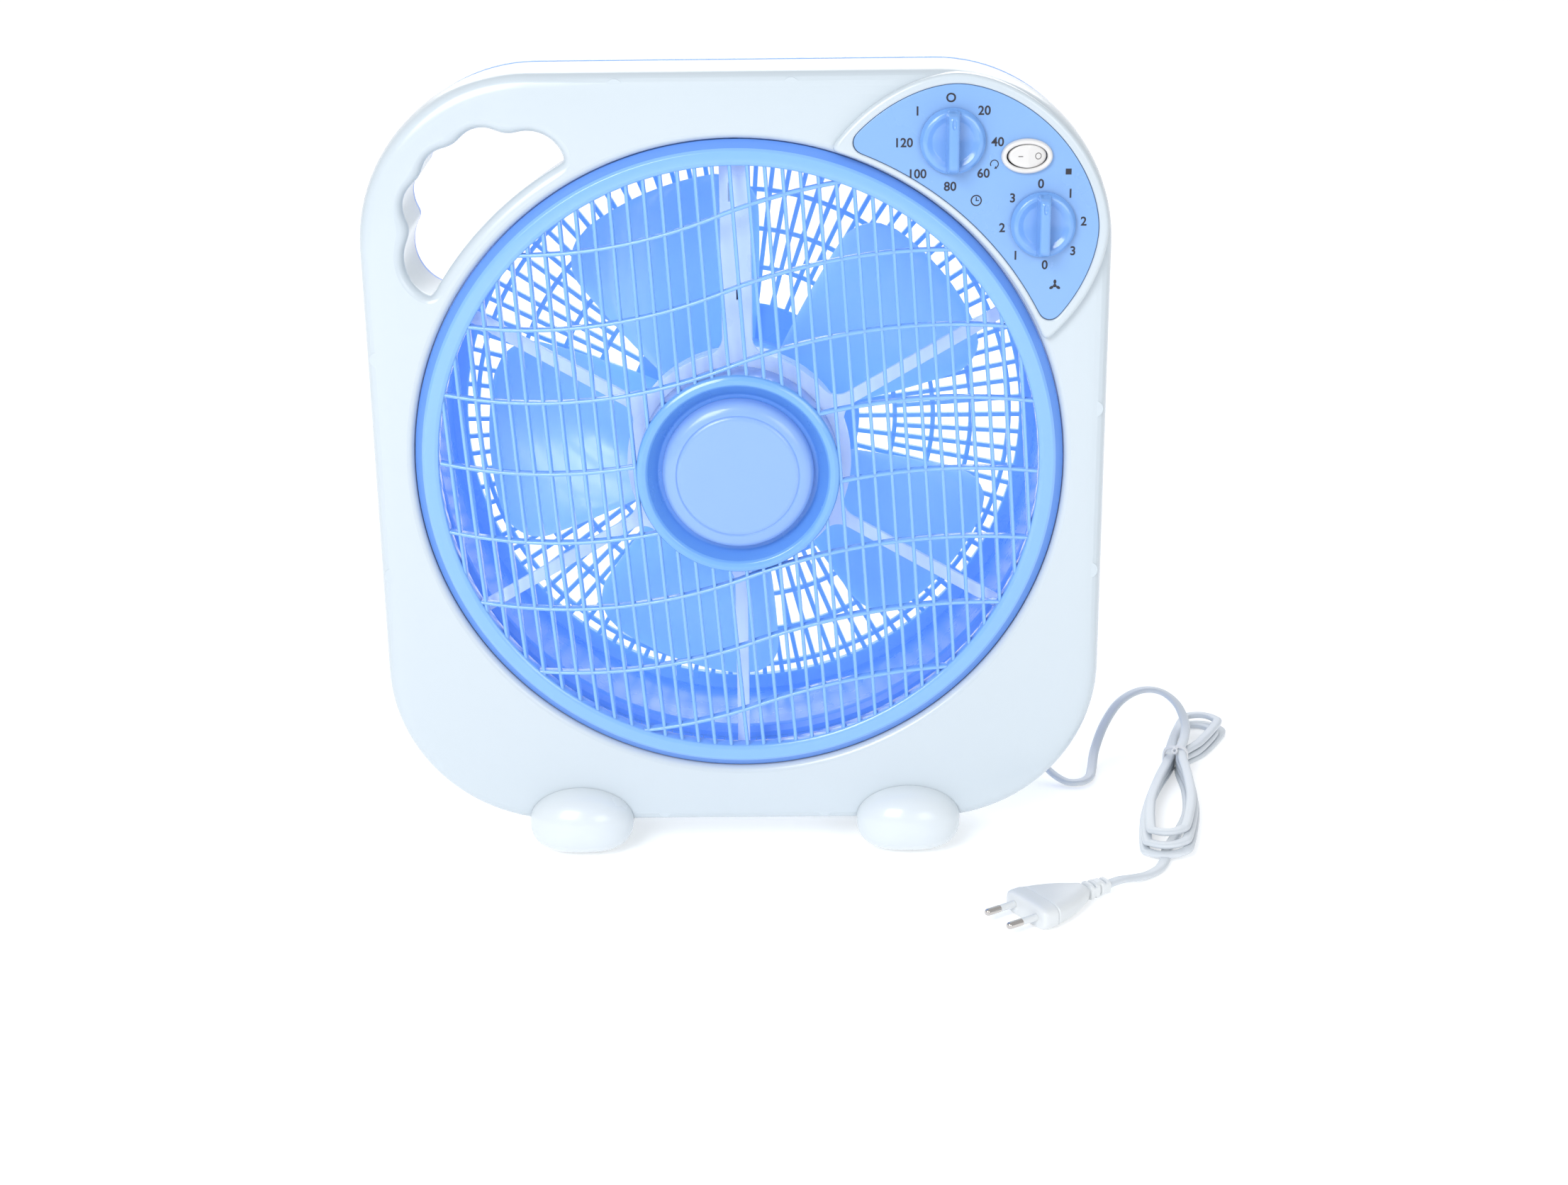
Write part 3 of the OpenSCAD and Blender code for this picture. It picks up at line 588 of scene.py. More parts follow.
def hank_turn(level, bottom_shift, bottom_r, top_shift, top_r):
    """One turn of the hank from its tie: round the near end, back through the tie, round the far end.
    The lead comes in a level higher, and reaches its own level in the near fold."""
    low = (HANK_TIE - HANK_BOTTOM).normalized()
    high = (HANK_TOP - HANK_TIE).normalized()
    low_right = Vector((low.y, -low.x))
    high_right = Vector((high.y, -high.x))
    bottom = HANK_BOTTOM + low * bottom_shift
    top = HANK_TOP + high * top_shift
    belly = HANK_BELLY + low * bottom_shift * 0.4
    upper, lower = layer_height(level + 1), layer_height(level)
    side = CORD_W / 2 + 0.15
    points = [(HANK_TIE + low_right * side, upper),
              (HANK_TIE.lerp(belly, 0.5) + low_right * (bottom_r * 0.72 + 1), upper),
              (belly + low_right * (bottom_r + 1.5), upper)]
    for k in range(5):
        angle = math.pi * k / 4
        points.append((bottom + low_right * bottom_r * math.cos(angle) - low * bottom_r * math.sin(angle),
                       upper + (lower - upper) * k / 4))
    points += [(belly - low_right * (bottom_r + 1.5), lower),
               (HANK_TIE.lerp(belly, 0.5) - low_right * (bottom_r * 0.72 + 1), lower),
               (HANK_TIE - low_right * side, lower),
               (HANK_TIE.lerp(top, 0.45) - high_right * (top_r * 0.78), lower)]
    for k in range(5):
        angle = math.pi * (1 - k / 4)
        points.append((top + high_right * top_r * math.cos(angle) + high * top_r * math.sin(angle), lower))
    points.append((HANK_TIE.lerp(top, 0.45) + high_right * (top_r * 0.78), lower))
    return [(p.x, p.y, z) for p, z in points]


def hank_route():
    turns = [(2, 10, 10.0, 1, 10.5), (1, 2, 11.5, -9, 11.0), (0, -2, 12.5, 2, 13.0)]
    route = []
    for turn in turns:
        route += hank_turn(*turn)
    low = (HANK_TIE - HANK_BOTTOM).normalized()
    right = Vector((low.y, -low.x))
    floor = layer_height(0)
    for place, side in ((HANK_TIE, 3.0), (HANK_TIE.lerp(HANK_BELLY, 0.5), 8.0), (HANK_BELLY, 9.0)):
        point = place + right * side
        route.append((point.x, point.y, floor))
    return route


def cord_sides(path):
    """At each point of a path, the directions across the flat lead and through its thickness.
    The lead keeps its twist as it falls, and settles flat on the floor."""
    frames = []
    across = Vector((1, 0, 0))
    for i in range(len(path)):
        ahead = (path[min(i + 1, len(path) - 1)] - path[max(i - 1, 0)]).normalized()
        across = (across - ahead * across.dot(ahead)).normalized()
        level = ahead.cross(Vector((0, 0, 1)))
        if level.dot(across) < 0:
            level.negate()
        across = across.lerp(level.normalized(), 0.2 * level.length ** 2).normalized()
        frames.append((across, across.cross(ahead)))
    return frames


def cord_section(sides=18):
    """Flat twin lead: two rounded cores with a shallow groove between them."""
    section = []
    for k in range(sides):
        angle = math.tau * k / sides
        c, s = math.cos(angle), math.sin(angle)
        x = CORD_W / 2 * math.copysign(abs(c) ** 0.8, c)
        waist = 1 - 0.16 * math.exp(-(x / 0.8) ** 2)
        section.append((x, CORD_T / 2 * waist * math.copysign(abs(s) ** 0.75, s)))
    return section


def make_cord():
    in_gland = [(150, 39, 60)]
    over_hank = [(268, 80, layer_height(HANK_LAYERS - 1) + 0.6)]
    to_plug = [(237.5, -55, 2.2)] + LEAD_ROUTE[::-1] + [(195.0, -110.1, 7)]
    route = [Vector(p) for p in in_gland + CORD_ROUTE + over_hank + hank_route() + to_plug]
    path = smooth_path(route, 6)
    section = cord_section()
    rings = [[(p + across * x + through * z) * MM for x, z in section]
             for p, (across, through) in zip(path, cord_sides(path))]
    cord = loft("mains_lead", rings, VINYL)
    shade(cord, 60, weighted=False)
    return cord, [p * MM for p in path]


def make_tie():
    """Thin plastic-coated wire, wound twice round the hank and twisted."""
    low, high = 0.8, layer_height(HANK_LAYERS - 1) + CORD_T / 2 + 0.7
    centre = Vector((*HANK_TIE, (low + high) / 2))
    along = Vector((*(HANK_TOP - HANK_BOTTOM).normalized(), 0))
    right = Vector((along.y, -along.x, 0))
    up = Vector((0, 0, 1))
    half_w, half_h = 6.9, (high - low) / 2
    path = []
    for k in range(97):
        angle = math.tau * 2 * k / 96 + math.pi / 2
        c, s = math.cos(angle), math.sin(angle)
        x = half_w * math.copysign(abs(c) ** 0.6, c)
        z = half_h * math.copysign(abs(s) ** 0.6, s)
        path.append(centre + right * x + up * z + along * (1.7 * (k / 96 - 0.5) * 2))
    parts = [wire("tie_turns", path, 0.8)]
    for sign in (-1, 1):
        end = [centre + up * (half_h + 0.2) + right * math.cos(t * 5 + (sign > 0) * math.pi)
               + up * (0.4 * math.sin(t * 5)) - along * (2 + 7.5 * t) + right * sign * 0.6 * t
               for t in [j / 14 for j in range(15)]]
        parts.append(wire("tie_end", [Vector((p.x, p.y, min(p.z, 17.2))) for p in end], 0.7))
    return shade(join(parts, "hank_tie"), 60, weighted=False)


def wire(name, path, radius, sides=10):
    """Round wire along a path in millimetres."""
    rings = []
    normal = None
    for i, p in enumerate(path):
        ahead = (path[min(i + 1, len(path) - 1)] - path[max(i - 1, 0)]).normalized()
        if normal is None:
            normal = ahead.orthogonal().normalized()
        normal = (normal - ahead * normal.dot(ahead)).normalized()
        other = ahead.cross(normal)
        rings.append([(p + radius * (math.cos(math.tau * k / sides) * normal
                                     + math.sin(math.tau * k / sides) * other)) * MM for k in range(sides)])
    return loft(name, rings, TIE_WHITE)


# ---- plug

PLUG_AT = Vector((149.5, -139.5))
PLUG_ANGLE = math.radians(32.9)
PLUG_LENGTH = 40.0
PIN_Z = 6.9
PIN_HALF_GAP = 9.3


def plug_place(x, y, z):
    """A point of the plug, x from its face towards the lead, as a place in the frame."""
    c, s = math.cos(PLUG_ANGLE), math.sin(PLUG_ANGLE)
    return Vector((PLUG_AT.x + x * c - y * s, PLUG_AT.y + x * s + y * c, z)) * MM


def squircle(half_w, half_h, power, sides=40):
    points = []
    for k in range(sides):
        angle = math.tau * (k + 0.5) / sides
        c, s = math.cos(angle), math.sin(angle)
        reach = (abs(c) ** power + abs(s) ** power) ** (-1 / power)
        points.append((half_w * reach * c, half_h * reach * s))
    return points


def plug_block(name, stations, middle=PIN_Z):
    """Lofts (x, half width, half height, squareness) stations along the plug's own axis."""
    rings = [[plug_place(x, y, middle + z) for y, z in squircle(w, h, power)] for x, w, h, power in stations]
    return loft(name, rings, PLUG_WHITE)


def make_plug():
    body = plug_block("plug_shell", [
        (0.0, 14.6, 4.6, 4), (0.3, 15.9, 5.8, 4), (1.2, 16.9, 6.6, 4), (3.0, 17.2, 6.85, 4),
        (8.0, 17.4, 6.85, 4),
        (8.8, 17.2, 6.7, 4), (9.2, 16.4, 6.1, 4), (9.8, 16.3, 6.0, 4), (10.4, 16.9, 6.5, 4),
        (12, 16.7, 6.5, 3.6),
        (18, 15.6, 6.4, 3.2), (24, 13.6, 6.2, 3), (30, 10.9, 5.8, 2.8), (35, 8.0, 5.3, 2.6),
        (38.6, 6.0, 4.8, 2.6),
        (39.6, 5.2, 4.2, 2.6),
    ])
    relief = plug_block("plug_relief", [
        (38, 3.4, 2.9, 3), (48, 3.3, 2.8, 3), (56.2, 3.2, 2.6, 3), (56.9, 2.9, 2.3, 3)])
    boolean(body, relief, "UNION")
    for i in range(4):
        x = PLUG_LENGTH + 1.6 + 3.9 * i
        shrink = 1 - 0.05 * i
        ring = plug_block("relief_ring", [
            (x, 4.3 * shrink, 4.0 * shrink, 4), (x + 0.4, 4.9 * shrink, 4.5 * shrink, 4),
            (x + 2.0, 4.9 * shrink, 4.5 * shrink, 4), (x + 2.4, 4.3 * shrink, 4.0 * shrink, 4)])
        boolean(body, ring, "UNION")
        if i < 3:
            for side in (-1, 1):
                offset = side * 3.4 * shrink
                tilt = i % 2
                bar = plug_block("relief_bar", [(x + 1.5, 1.25 + 1.5 * tilt, 1.25 + 1.5 * (1 - tilt), 5),
                                                (x + 4.6, 1.25 + 1.5 * tilt, 1.25 + 1.5 * (1 - tilt), 5)])
                shift = plug_place(0, 0 if tilt else offset, 0 if not tilt else offset) - plug_place(0, 0, 0)
                for vertex in bar.data.vertices:
                    vertex.co += shift
                boolean(body, bar, "UNION")
    body.name = "plug_moulding"
    return shade(body, 42)


def make_pins():
    parts = []
    for side in (-1, 1):
        y = side * PIN_HALF_GAP

        def turned(name, section, material, y=y):
            rings = []
            for k in range(28):
                angle = math.tau * k / 28
                rings.append([plug_place(-x, y + r * math.cos(angle), PIN_Z + r * math.sin(angle))
                              for x, r in section])
            return loft(name, rings, material, ring_loop=True)

        parts.append(turned("pin_sleeve", [(0.05, 0), (0.05, 1.98), (9.3, 1.85), (9.6, 1.7), (9.6, 0)],
                            PLUG_WHITE))
        tip = [(9.6, 0), (9.6, 1.9), (9.8, 2.0), (17.2, 2.0), (18.1, 1.8), (18.7, 1.3), (18.95, 0.6),
               (18.98, 0)]
        parts.append(turned("pin_tip", tip, NICKEL))
    return shade(join(parts, "pins"), 50)


cord, cord_path = make_cord()
tie = make_tie()
plug = make_plug()
pins = make_pins()
stand_for(cord, "stand", "power_cord", "cord_hank", "plug_lead")
stand_for(tie, "stand", "cord_tie")
stand_for(plug, "stand", "plug_body")
stand_for(pins, "stand", "plug_pins")


# ---- strain relief where the lead leaves the housing

def make_gland():
    x, y = front_view(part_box("cord_gland")[0].lerp(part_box("cord_gland")[1], 0.5))
    section = [(2.2, SHELL_DEPTH), (5.2, SHELL_DEPTH), (5.2, BACK_FACE), (7.7, BACK_FACE + 0.1),
               (8.0, BACK_FACE + 0.5),
               (8.0, BACK_FACE + 2.6), (7.6, BACK_FACE + 3.0)]
    start, end = BACK_FACE + 3.6, BACK_FACE + 28
    for k in range(6):
        at = start + (end - start) * k / 6
        r = 6.3 - 2.3 * k / 6
        section += [(r - 1.0, at - 0.3), (r - 0.2, at), (r, at + 0.5), (r, at + 2.2), (r - 0.2, at + 2.7),
                    (r - 1.0, at + 3.0)]
    section += [(3.6, end + 0.2), (3.3, BACK_FACE + 28.9), (2.2, BACK_FACE + 29)]
    return shade(lathe("strain_relief", section, VINYL, centre=(x, y), sides=48), 50)


stand_for(make_gland(), "stand", "cord_gland")

# ---------------------------------------------------------------- housing


def body_outline(inset, steps=26):
    """Rounded rectangle of the housing, drawn in by an inset."""
    radius = CORNER_R - inset
    cx, cy = BODY_W / 2 - CORNER_R, BODY_H / 2 - CORNER_R
    points = []
    for quarter, (sx, sy) in enumerate(((1, 1), (-1, 1), (-1, -1), (1, -1))):
        for k in range(steps + 1):
            angle = math.pi / 2 * (quarter + k / steps)
            points.append((sx * cx + radius * math.cos(angle), sy * cy + radius * math.sin(angle)))
    return points


def near(loop, x, y):
    cx, cy = centre_of(loop)
    return math.hypot(cx - x, cy - y)


def handle_loop():
    """The handle opening's outline, taken from the CAD shell half way through it."""
    loops = [l for l in cut_loops("front_housing", 30) if near(l, -142, 142) < 25 and abs(area(l)) > 2000]
    return relax(even(min(loops, key=lambda l: abs(area(l))), 1.2), 4)


def panel_loops():
    """The outlines of the panel's rim and of the pocket in it, from the CAD shell."""
    loops = [l for l in cut_loops("front_housing", -PANEL_RAISE / 2) if abs(area(l)) > 4000]
    loops.sort(key=lambda l: abs(area(l)))
    return relax(even(loops[-1], 1.2), 3), relax(even(loops[0], 1.2), 3)


def rounded_plate(name, outline, front, back, edge, material=None, steps=5, move=grow):
    """A slab between two depths whose front edge is rounded."""
    rings = [ring_at(outline, back), ring_at(outline, front + edge)]
    loop = outline
    reach = 0.0
    for k in range(1, steps + 1):
        angle = math.pi / 2 * k / steps
        loop = move(loop, reach - edge * (1 - math.cos(angle)))
        reach = edge * (1 - math.cos(angle))
        rings.append(ring_at(loop, front + edge * (1 - math.sin(angle))))
    return loft(name, rings, material)


def flared_cutter(name, outline, front, back, edge, steps=6, move=grow, draft=0.0):
    """A tool that cuts a hole with a rounded front edge into a face at a depth of front."""
    loop = move(outline, -draft) if draft else outline
    rings = [ring_at(outline, back), ring_at(loop, front + edge)]
    reach = 0.0
    for k in range(1, steps + 1):
        angle = math.radians(84) * k / steps
        loop = move(loop, edge * (1 - math.cos(angle)) - reach)
        reach = edge * (1 - math.cos(angle))
        rings.append(ring_at(loop, front + edge * (1 - math.sin(angle))))
    rings.append(ring_at(grow(loop, 0.1), front - 6))
    return loft(name, rings)


HANDLE = handle_loop()
RIM_OUTER, RIM_POCKET = panel_loops()
SCREWS = [(189.5, -60), (-189.5, -60), (-189.5, 60), (189.5, 30), (-60, 200), (30, 200), (-45, -200),
          (45, -200)]
WALL = 2.5
DUCT_R = 170.9                     # opening of the rear shell round the air duct


def make_front_shell():
    shell = loft("front_shell", [ring_at(body_outline(inset), depth) for inset, depth in (
        (0.9, SHELL_DEPTH), (0.35, 48), (0.0, 30), (0.25, 18), (0.9, 9.5), (1.7, 6.0), (2.7, 3.9),
        (4.2, 2.25),
        (6.2, 1.15), (9.0, 0.55), (13.0, 0.2), (20.0, 0.0))], WHITE)
    hollow = loft("hollow", [ring_at(body_outline(inset), depth) for inset, depth in (
        (WALL + 0.9, SHELL_DEPTH + 4), (WALL, 30), (WALL + 0.8, 10), (6.5, 4.2), (11, 2.9), (20, WALL))])
    boolean(shell, hollow)
    boolean(shell, lathe("duct", [(172, 0.6), (184, 0.6), (184, 4.5), (177.5, 9), (177.5, 46), (172, 46)]),
            "UNION")
    inner, outer = swell(HANDLE, WALL), swell(HANDLE, 6.0)
    boolean(shell, loft("handle_wall", [ring_at(outer, 0.6), ring_at(outer, 4.0), ring_at(inner, 9),
                                        ring_at(inner, SHELL_DEPTH)]), "UNION")
    for x, y in SCREWS:
        boolean(shell, lathe("post", [(0, 1), (4.5, 1), (4.5, SHELL_DEPTH), (0, SHELL_DEPTH)], centre=(x, y),
                             sides=32),
                "UNION")
    lip = [(OPENING_R, 60), (OPENING_R, 12), (LIP_R, 10), (LIP_R, 4)]
    lip += [(LIP_R + 4 - 4 * math.cos(a),
             4 - 4 * math.sin(a)) for a in (math.radians(14 * k) for k in range(1, 7))]
    boolean(shell, lathe("opening", [(0, -5), (0, 60)] + lip + [(LIP_R + 3.9, -5)], sides=240))
    boolean(shell, flared_cutter("handle_hole", HANDLE, 0, SHELL_DEPTH + 4, 5.5, move=swell, draft=3.0))
    boolean(shell, rounded_plate("rim", RIM_OUTER, -PANEL_RAISE, 3.4, 2.4, move=swell), "UNION")
    boolean(shell, flared_cutter("pocket", RIM_POCKET, -PANEL_RAISE, 0.02, 1.0))
    for x, y in (TIMER_AT, SPEED_AT):
        boolean(shell, lathe("knob_hole", [(0, -1), (5, -1), (5, 4), (0, 4)], centre=(x, y), sides=48))
    x, y = ROCKER_AT
    boolean(shell, rounded_plate("rocker_hole", [(x - 11, y - 6.3), (x + 11, y - 6.3), (x + 11, y + 6.3),
                                                 (x - 11, y + 6.3)],
                                 -1, 4, 0.01))
    clean(shell)
    return tint(shade(paint(shell, WHITE), 40), DUCT_BLUE, lambda r,
                depth: r < OPENING_R + 0.2 and depth > 26)


def make_rear_shell():
    front = SHELL_DEPTH + 0.2
    shell = loft("rear_shell", [ring_at(body_outline(inset), depth) for inset, depth in (
        (0.6, front), (0.5, 60.4), (0.9, 61.8), (2.0, 62.7), (4.0, BACK_FACE))], BLUE)
    hollow = loft("hollow", [ring_at(body_outline(inset), depth) for inset, depth in (
        (WALL + 0.6, front - 3), (WALL + 0.6, BACK_FACE - WALL))])
    boolean(shell, hollow)
    boolean(shell, loft("handle_wall", [ring_at(grow(HANDLE, WALL), front),
                                        ring_at(grow(HANDLE, WALL), BACK_FACE - 0.5)]),
            "UNION")
    boolean(shell, lathe("opening", [(0, 40), (DUCT_R, 40), (DUCT_R, 62.2), (DUCT_R + 0.5, 62.9),
                                     (DUCT_R + 0.9, 70), (0, 70)],
                         sides=240))
    boolean(shell, loft("handle_hole", [ring_at(HANDLE, 50), ring_at(HANDLE, 62.2),
                                        ring_at(grow(HANDLE, 0.5), 62.8),
                                        ring_at(grow(HANDLE, 1.4), BACK_FACE + 0.05),
                                        ring_at(grow(HANDLE, 1.5), 66)]))
    for x, y in SCREWS:
        boolean(shell, lathe("screw_hole", [(0, 50), (2, 50), (2, 66), (0, 66)], centre=(x, y), sides=24))
    gx, gy = front_view(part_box("cord_gland")[0].lerp(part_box("cord_gland")[1], 0.5))
    boolean(shell, lathe("gland_hole", [(0, 50), (5.4, 50), (5.4, 66), (0, 66)], centre=(gx, gy), sides=40))
    clean(shell)
    return shade(paint(shell, BLUE), 40)


def make_duct():
    """The rear half of the air duct: a drum with a flared mouth, standing out of the rear shell."""
    mouth, back = depth_of(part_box("air_duct")[0].y), depth_of(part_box("air_duct")[1].y)
    return shade(lathe("duct_drum", fillet([
        (172, mouth, 0.4), (177.2, mouth, 0.4), (177.2, mouth + 2.2, 0.8), (171.0, 53, 1.5), (170.4, 56, 1.5),
        (170.4, back, 0.4), (168.2, back, 0.4), (168.0, 50.5, 2), (168.7, 47.8, 1)], 4), DUCT_BLUE,
                       sides=240), 40)


def make_screws():
    """Pan-head screws with a cross recess, in the rear shell."""
    head = [(0, 62), (1.4, 62), (1.4, BACK_FACE + 0.05), (3.4, BACK_FACE + 0.05), (3.4, BACK_FACE + 1.0),
            (3.0, BACK_FACE + 1.7), (2.0, BACK_FACE + 2.15), (0, BACK_FACE + 2.2)]
    parts = []
    for i, (x, y) in enumerate(SCREWS):
        screw = lathe("screw", head, ZINC, centre=(x, y), sides=32)
        for turn in (0, 90):
            a = math.radians(turn + 23 * i)
            c, s = math.cos(a), math.sin(a)
            slot = [(x + u * c - v * s, y + u * s + v * c) for u,
                    v in ((-1.9, -0.3), (1.9, -0.3), (1.9, 0.3), (-1.9, 0.3))]
            boolean(screw, loft("slot", [ring_at(slot, BACK_FACE + 1.1), ring_at(slot, BACK_FACE + 4)]))
        parts.append(screw)
    return shade(paint(join(parts, "rear_screws"), ZINC), 30)


stand_for(make_front_shell(), "stand", "front_housing")
stand_for(make_rear_shell(), "stand", "rear_housing")
stand_for(make_duct(), "stand", "air_duct")
stand_for(make_screws(), "stand", "housing_screws")

# ---------------------------------------------------------------- rear grille

RIB_W = 2.6
REAR_RINGS = [66, 88, 110, 132, 154]


def bar(name, start, end, half_w, front, back, material=None, edge=0.6):
    """A straight rib between two points of the front view, with its long edges rounded."""
    a, b = Vector(start), Vector(end)
    run = (b - a).normalized()
    side = Vector((-run.y, run.x))
    section = fillet([(-half_w, front, edge), (half_w, front, edge), (half_w, back, edge),
                      (-half_w, back, edge)], 2)
    return loft(name, [[world(*(p + side * s), d) for s, d in section] for p in (a, b)], material)


def make_rear_grille():
    back = depth_of(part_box("rear_grille")[1].y)
    parts = [lathe("rim", fillet([(160, back - 5.6, 0.8), (160, back, 1.5), (168, back, 1),
                                  (170.8, back - 2.8, 1.5),
                                  (170.8, back - 5.6, 0.5)], 4), REAR_BLUE, sides=240)]
    front, top = back - 5, back - 1.4
    for r in REAR_RINGS[1:]:
        parts.append(lathe("ring", fillet([(r - RIB_W / 2, front, 0.6), (r + RIB_W / 2, front, 0.6),
                                           (r + RIB_W / 2, top, 0.8), (r - RIB_W / 2, top, 0.8)], 3),
                           REAR_BLUE,
                           sides=192))
    parts.append(lathe("plate", [(0, front), (66.5, front), (67.3, front + 0.8), (67.3, top - 0.9),
                                 (66.4, top - 0.2),
                                 (64, top), (62, top - 0.7), (24, top - 0.7), (23.2, top - 1.2),
                                 (0, top - 1.2)],
                       REAR_BLUE, sides=192))
    for i in range(96):
        a = math.tau * i / 96
        inner = 66 if i % 2 == 0 else 88
        parts.append(bar("rib", (inner * math.cos(a), inner * math.sin(a)),
                         (162 * math.cos(a), 162 * math.sin(a)),
                         RIB_W / 2, front, top, REAR_BLUE))
    return shade(join(parts, "rear_guard"), 40)


stand_for(make_rear_grille(), "stand", "rear_grille")

# ---------------------------------------------------------------- motor carrier

SPIDER_R = 60.5
SPIDER_ARMS = {30: 3.4, 90: 8.0, 150: 3.4, 210: 3.4, 270: 3.4, 330: 3.4}   # angle: half width


def spider_outline(blend=10.0, reach=173.0):
    """The carrier's disc with its six arms, filleted where they meet."""
    outline = []
    arms = sorted(SPIDER_ARMS.items())
    for i, (angle, half) in enumerate(arms):
        following, next_half = arms[(i + 1) % len(arms)]
        base = math.radians(angle)
        run, side = Vector((math.cos(base), math.sin(base))), Vector((-math.sin(base), math.cos(base)))
        outline += [tuple(run * reach - side * half), tuple(run * reach + side * half)]
        for which, at, width in ((1, angle, half), (-1, following, next_half)):
            lift = math.asin((width + blend) / (SPIDER_R + blend))
            centre_angle = math.radians(at) + which * lift
            centre = Vector((math.cos(centre_angle), math.sin(centre_angle))) * (SPIDER_R + blend)
            on_arm = math.radians(at) - which * math.pi / 2
            on_disc = centre_angle + math.pi
            sweep = (on_disc - on_arm + math.pi) % math.tau - math.pi
            arc = [tuple(centre + blend * Vector((math.cos(on_arm + sweep * k / 8),
                                                  math.sin(on_arm + sweep * k / 8))))
                   for k in range(9)]
            if which > 0:
                outline += arc
                first = centre_angle
            else:
                gap = (centre_angle - first) % math.tau
                outline += [(SPIDER_R * math.cos(first + gap * k / 10),
                             SPIDER_R * math.sin(first + gap * k / 10))
                            for k in range(1, 10)]
                outline += arc[::-1]
    return outline


def make_spider():
    front, back = 12.0, 26.0
    outline = spider_outline()
    spider = loft("motor_carrier", [ring_at(outline, front + WALL), ring_at(outline, front + 0.5),
                                    ring_at(grow(outline, -0.15), front + 0.15),
                                    ring_at(grow(outline, -0.5), front)],
                  LILAC)
    boolean(spider, lathe("skirt", [(SPIDER_R - 2.6, front + 1), (SPIDER_R - 0.05, front + 1),
                                    (SPIDER_R - 0.05, back),
                                    (SPIDER_R - 2.6, back)]), "UNION")
    for angle in SPIDER_ARMS:
        a = math.radians(angle)
        run, side = Vector((math.cos(a), math.sin(a))), Vector((-math.sin(a), math.cos(a)))
        for offset, half in ([(0, 1.2)] if angle != 90 else [(-6.6, 1.0), (6.6, 1.0)]):
            boolean(spider, bar("web", run * 59 + side * offset, run * 171.2 + side * offset, half,
                                front + 1, back - 2,
                                edge=0.3), "UNION")
    for x, y, w, h in ((-2.3, 145, 2.5, 10), (1.2, 91.5, 2.5, 7)):
        slot = [(x - w / 2, y - h / 2), (x + w / 2, y - h / 2), (x + w / 2, y + h / 2),
                (x - w / 2, y + h / 2)]
        boolean(spider, loft("slot", [ring_at(slot, 10), ring_at(slot, 16)]))
    boolean(spider, lathe("middle", [(0, 10), (10, 10), (10, 16), (0, 16)], sides=48))
    for k in range(4):
        a = math.radians(45 + 90 * k)
        boolean(spider, lathe("screw_hole", [(0, 10), (2.2, 10), (2.2, 16), (0, 16)],
                              centre=(33 * math.cos(a), 33 * math.sin(a)), sides=24))
    notch = [(-5.8, 55), (5.8, 55), (5.8, 66), (-5.8, 66)]
    boolean(spider, loft("notch", [ring_at(notch, 15), ring_at(notch, 27)]))
    clean(spider)
    return shade(paint(spider, LILAC), 35)


def make_carrier_ring():
    """The ring that the carrier's arms stand on, with a notch for the motor's wires."""
    front, back = depth_of(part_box("carrier_ring")[0].y), depth_of(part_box("carrier_ring")[1].y)
    ring = lathe("carrier_hoop", fillet([(171.4, front, 0.6), (174.8, front, 0.3), (174.8, back, 0.3),
                                         (171.4, back, 0.3)], 3), sides=240)
    notch = [(-5.8, 166), (5.8, 166), (5.8, 180), (-5.8, 180)]
    boolean(ring, loft("notch", [ring_at(notch, 10), ring_at(notch, 21)]))
    return shade(paint(ring, LILAC), 35)


stand_for(make_spider(), "stand", "motor_spider")
stand_for(make_carrier_ring(), "stand", "carrier_ring")

# ---------------------------------------------------------------- fan blade

HUB_WALL_R = 50.0
BLADE_R = 144.0
BLADE_T = 2.2
BLADE_MIDDLE = 79.0
BLADE_RISE = 18.0
ROOT_HALF, TIP_HALF, CORNER_HALF = 29.0, 24.0, 9.0
TIP_ROUND = 0.78
BLADE_ANGLE = 38.0
HUB_BACK = 97.0


def blade_half(v):
    w = max(0.0, (v - TIP_ROUND) / (1 - TIP_ROUND))
    return ROOT_HALF + (TIP_HALF - ROOT_HALF) * v - CORNER_HALF * (1 - math.sqrt(max(0.0, 1 - w * w)))


def blade_point(u, v, off):
    """u from -1 to 1 round the axis, v from 0 to 1 outwards, off through the blade's thickness."""
    r = HUB_WALL_R - 1.5 + (BLADE_R - HUB_WALL_R + 1.5) * v
    angle = u * blade_half(v)
    lift = BLADE_RISE * angle / TIP_HALF * (1 - 0.15 * v)
    return r, angle, BLADE_MIDDLE - lift - off


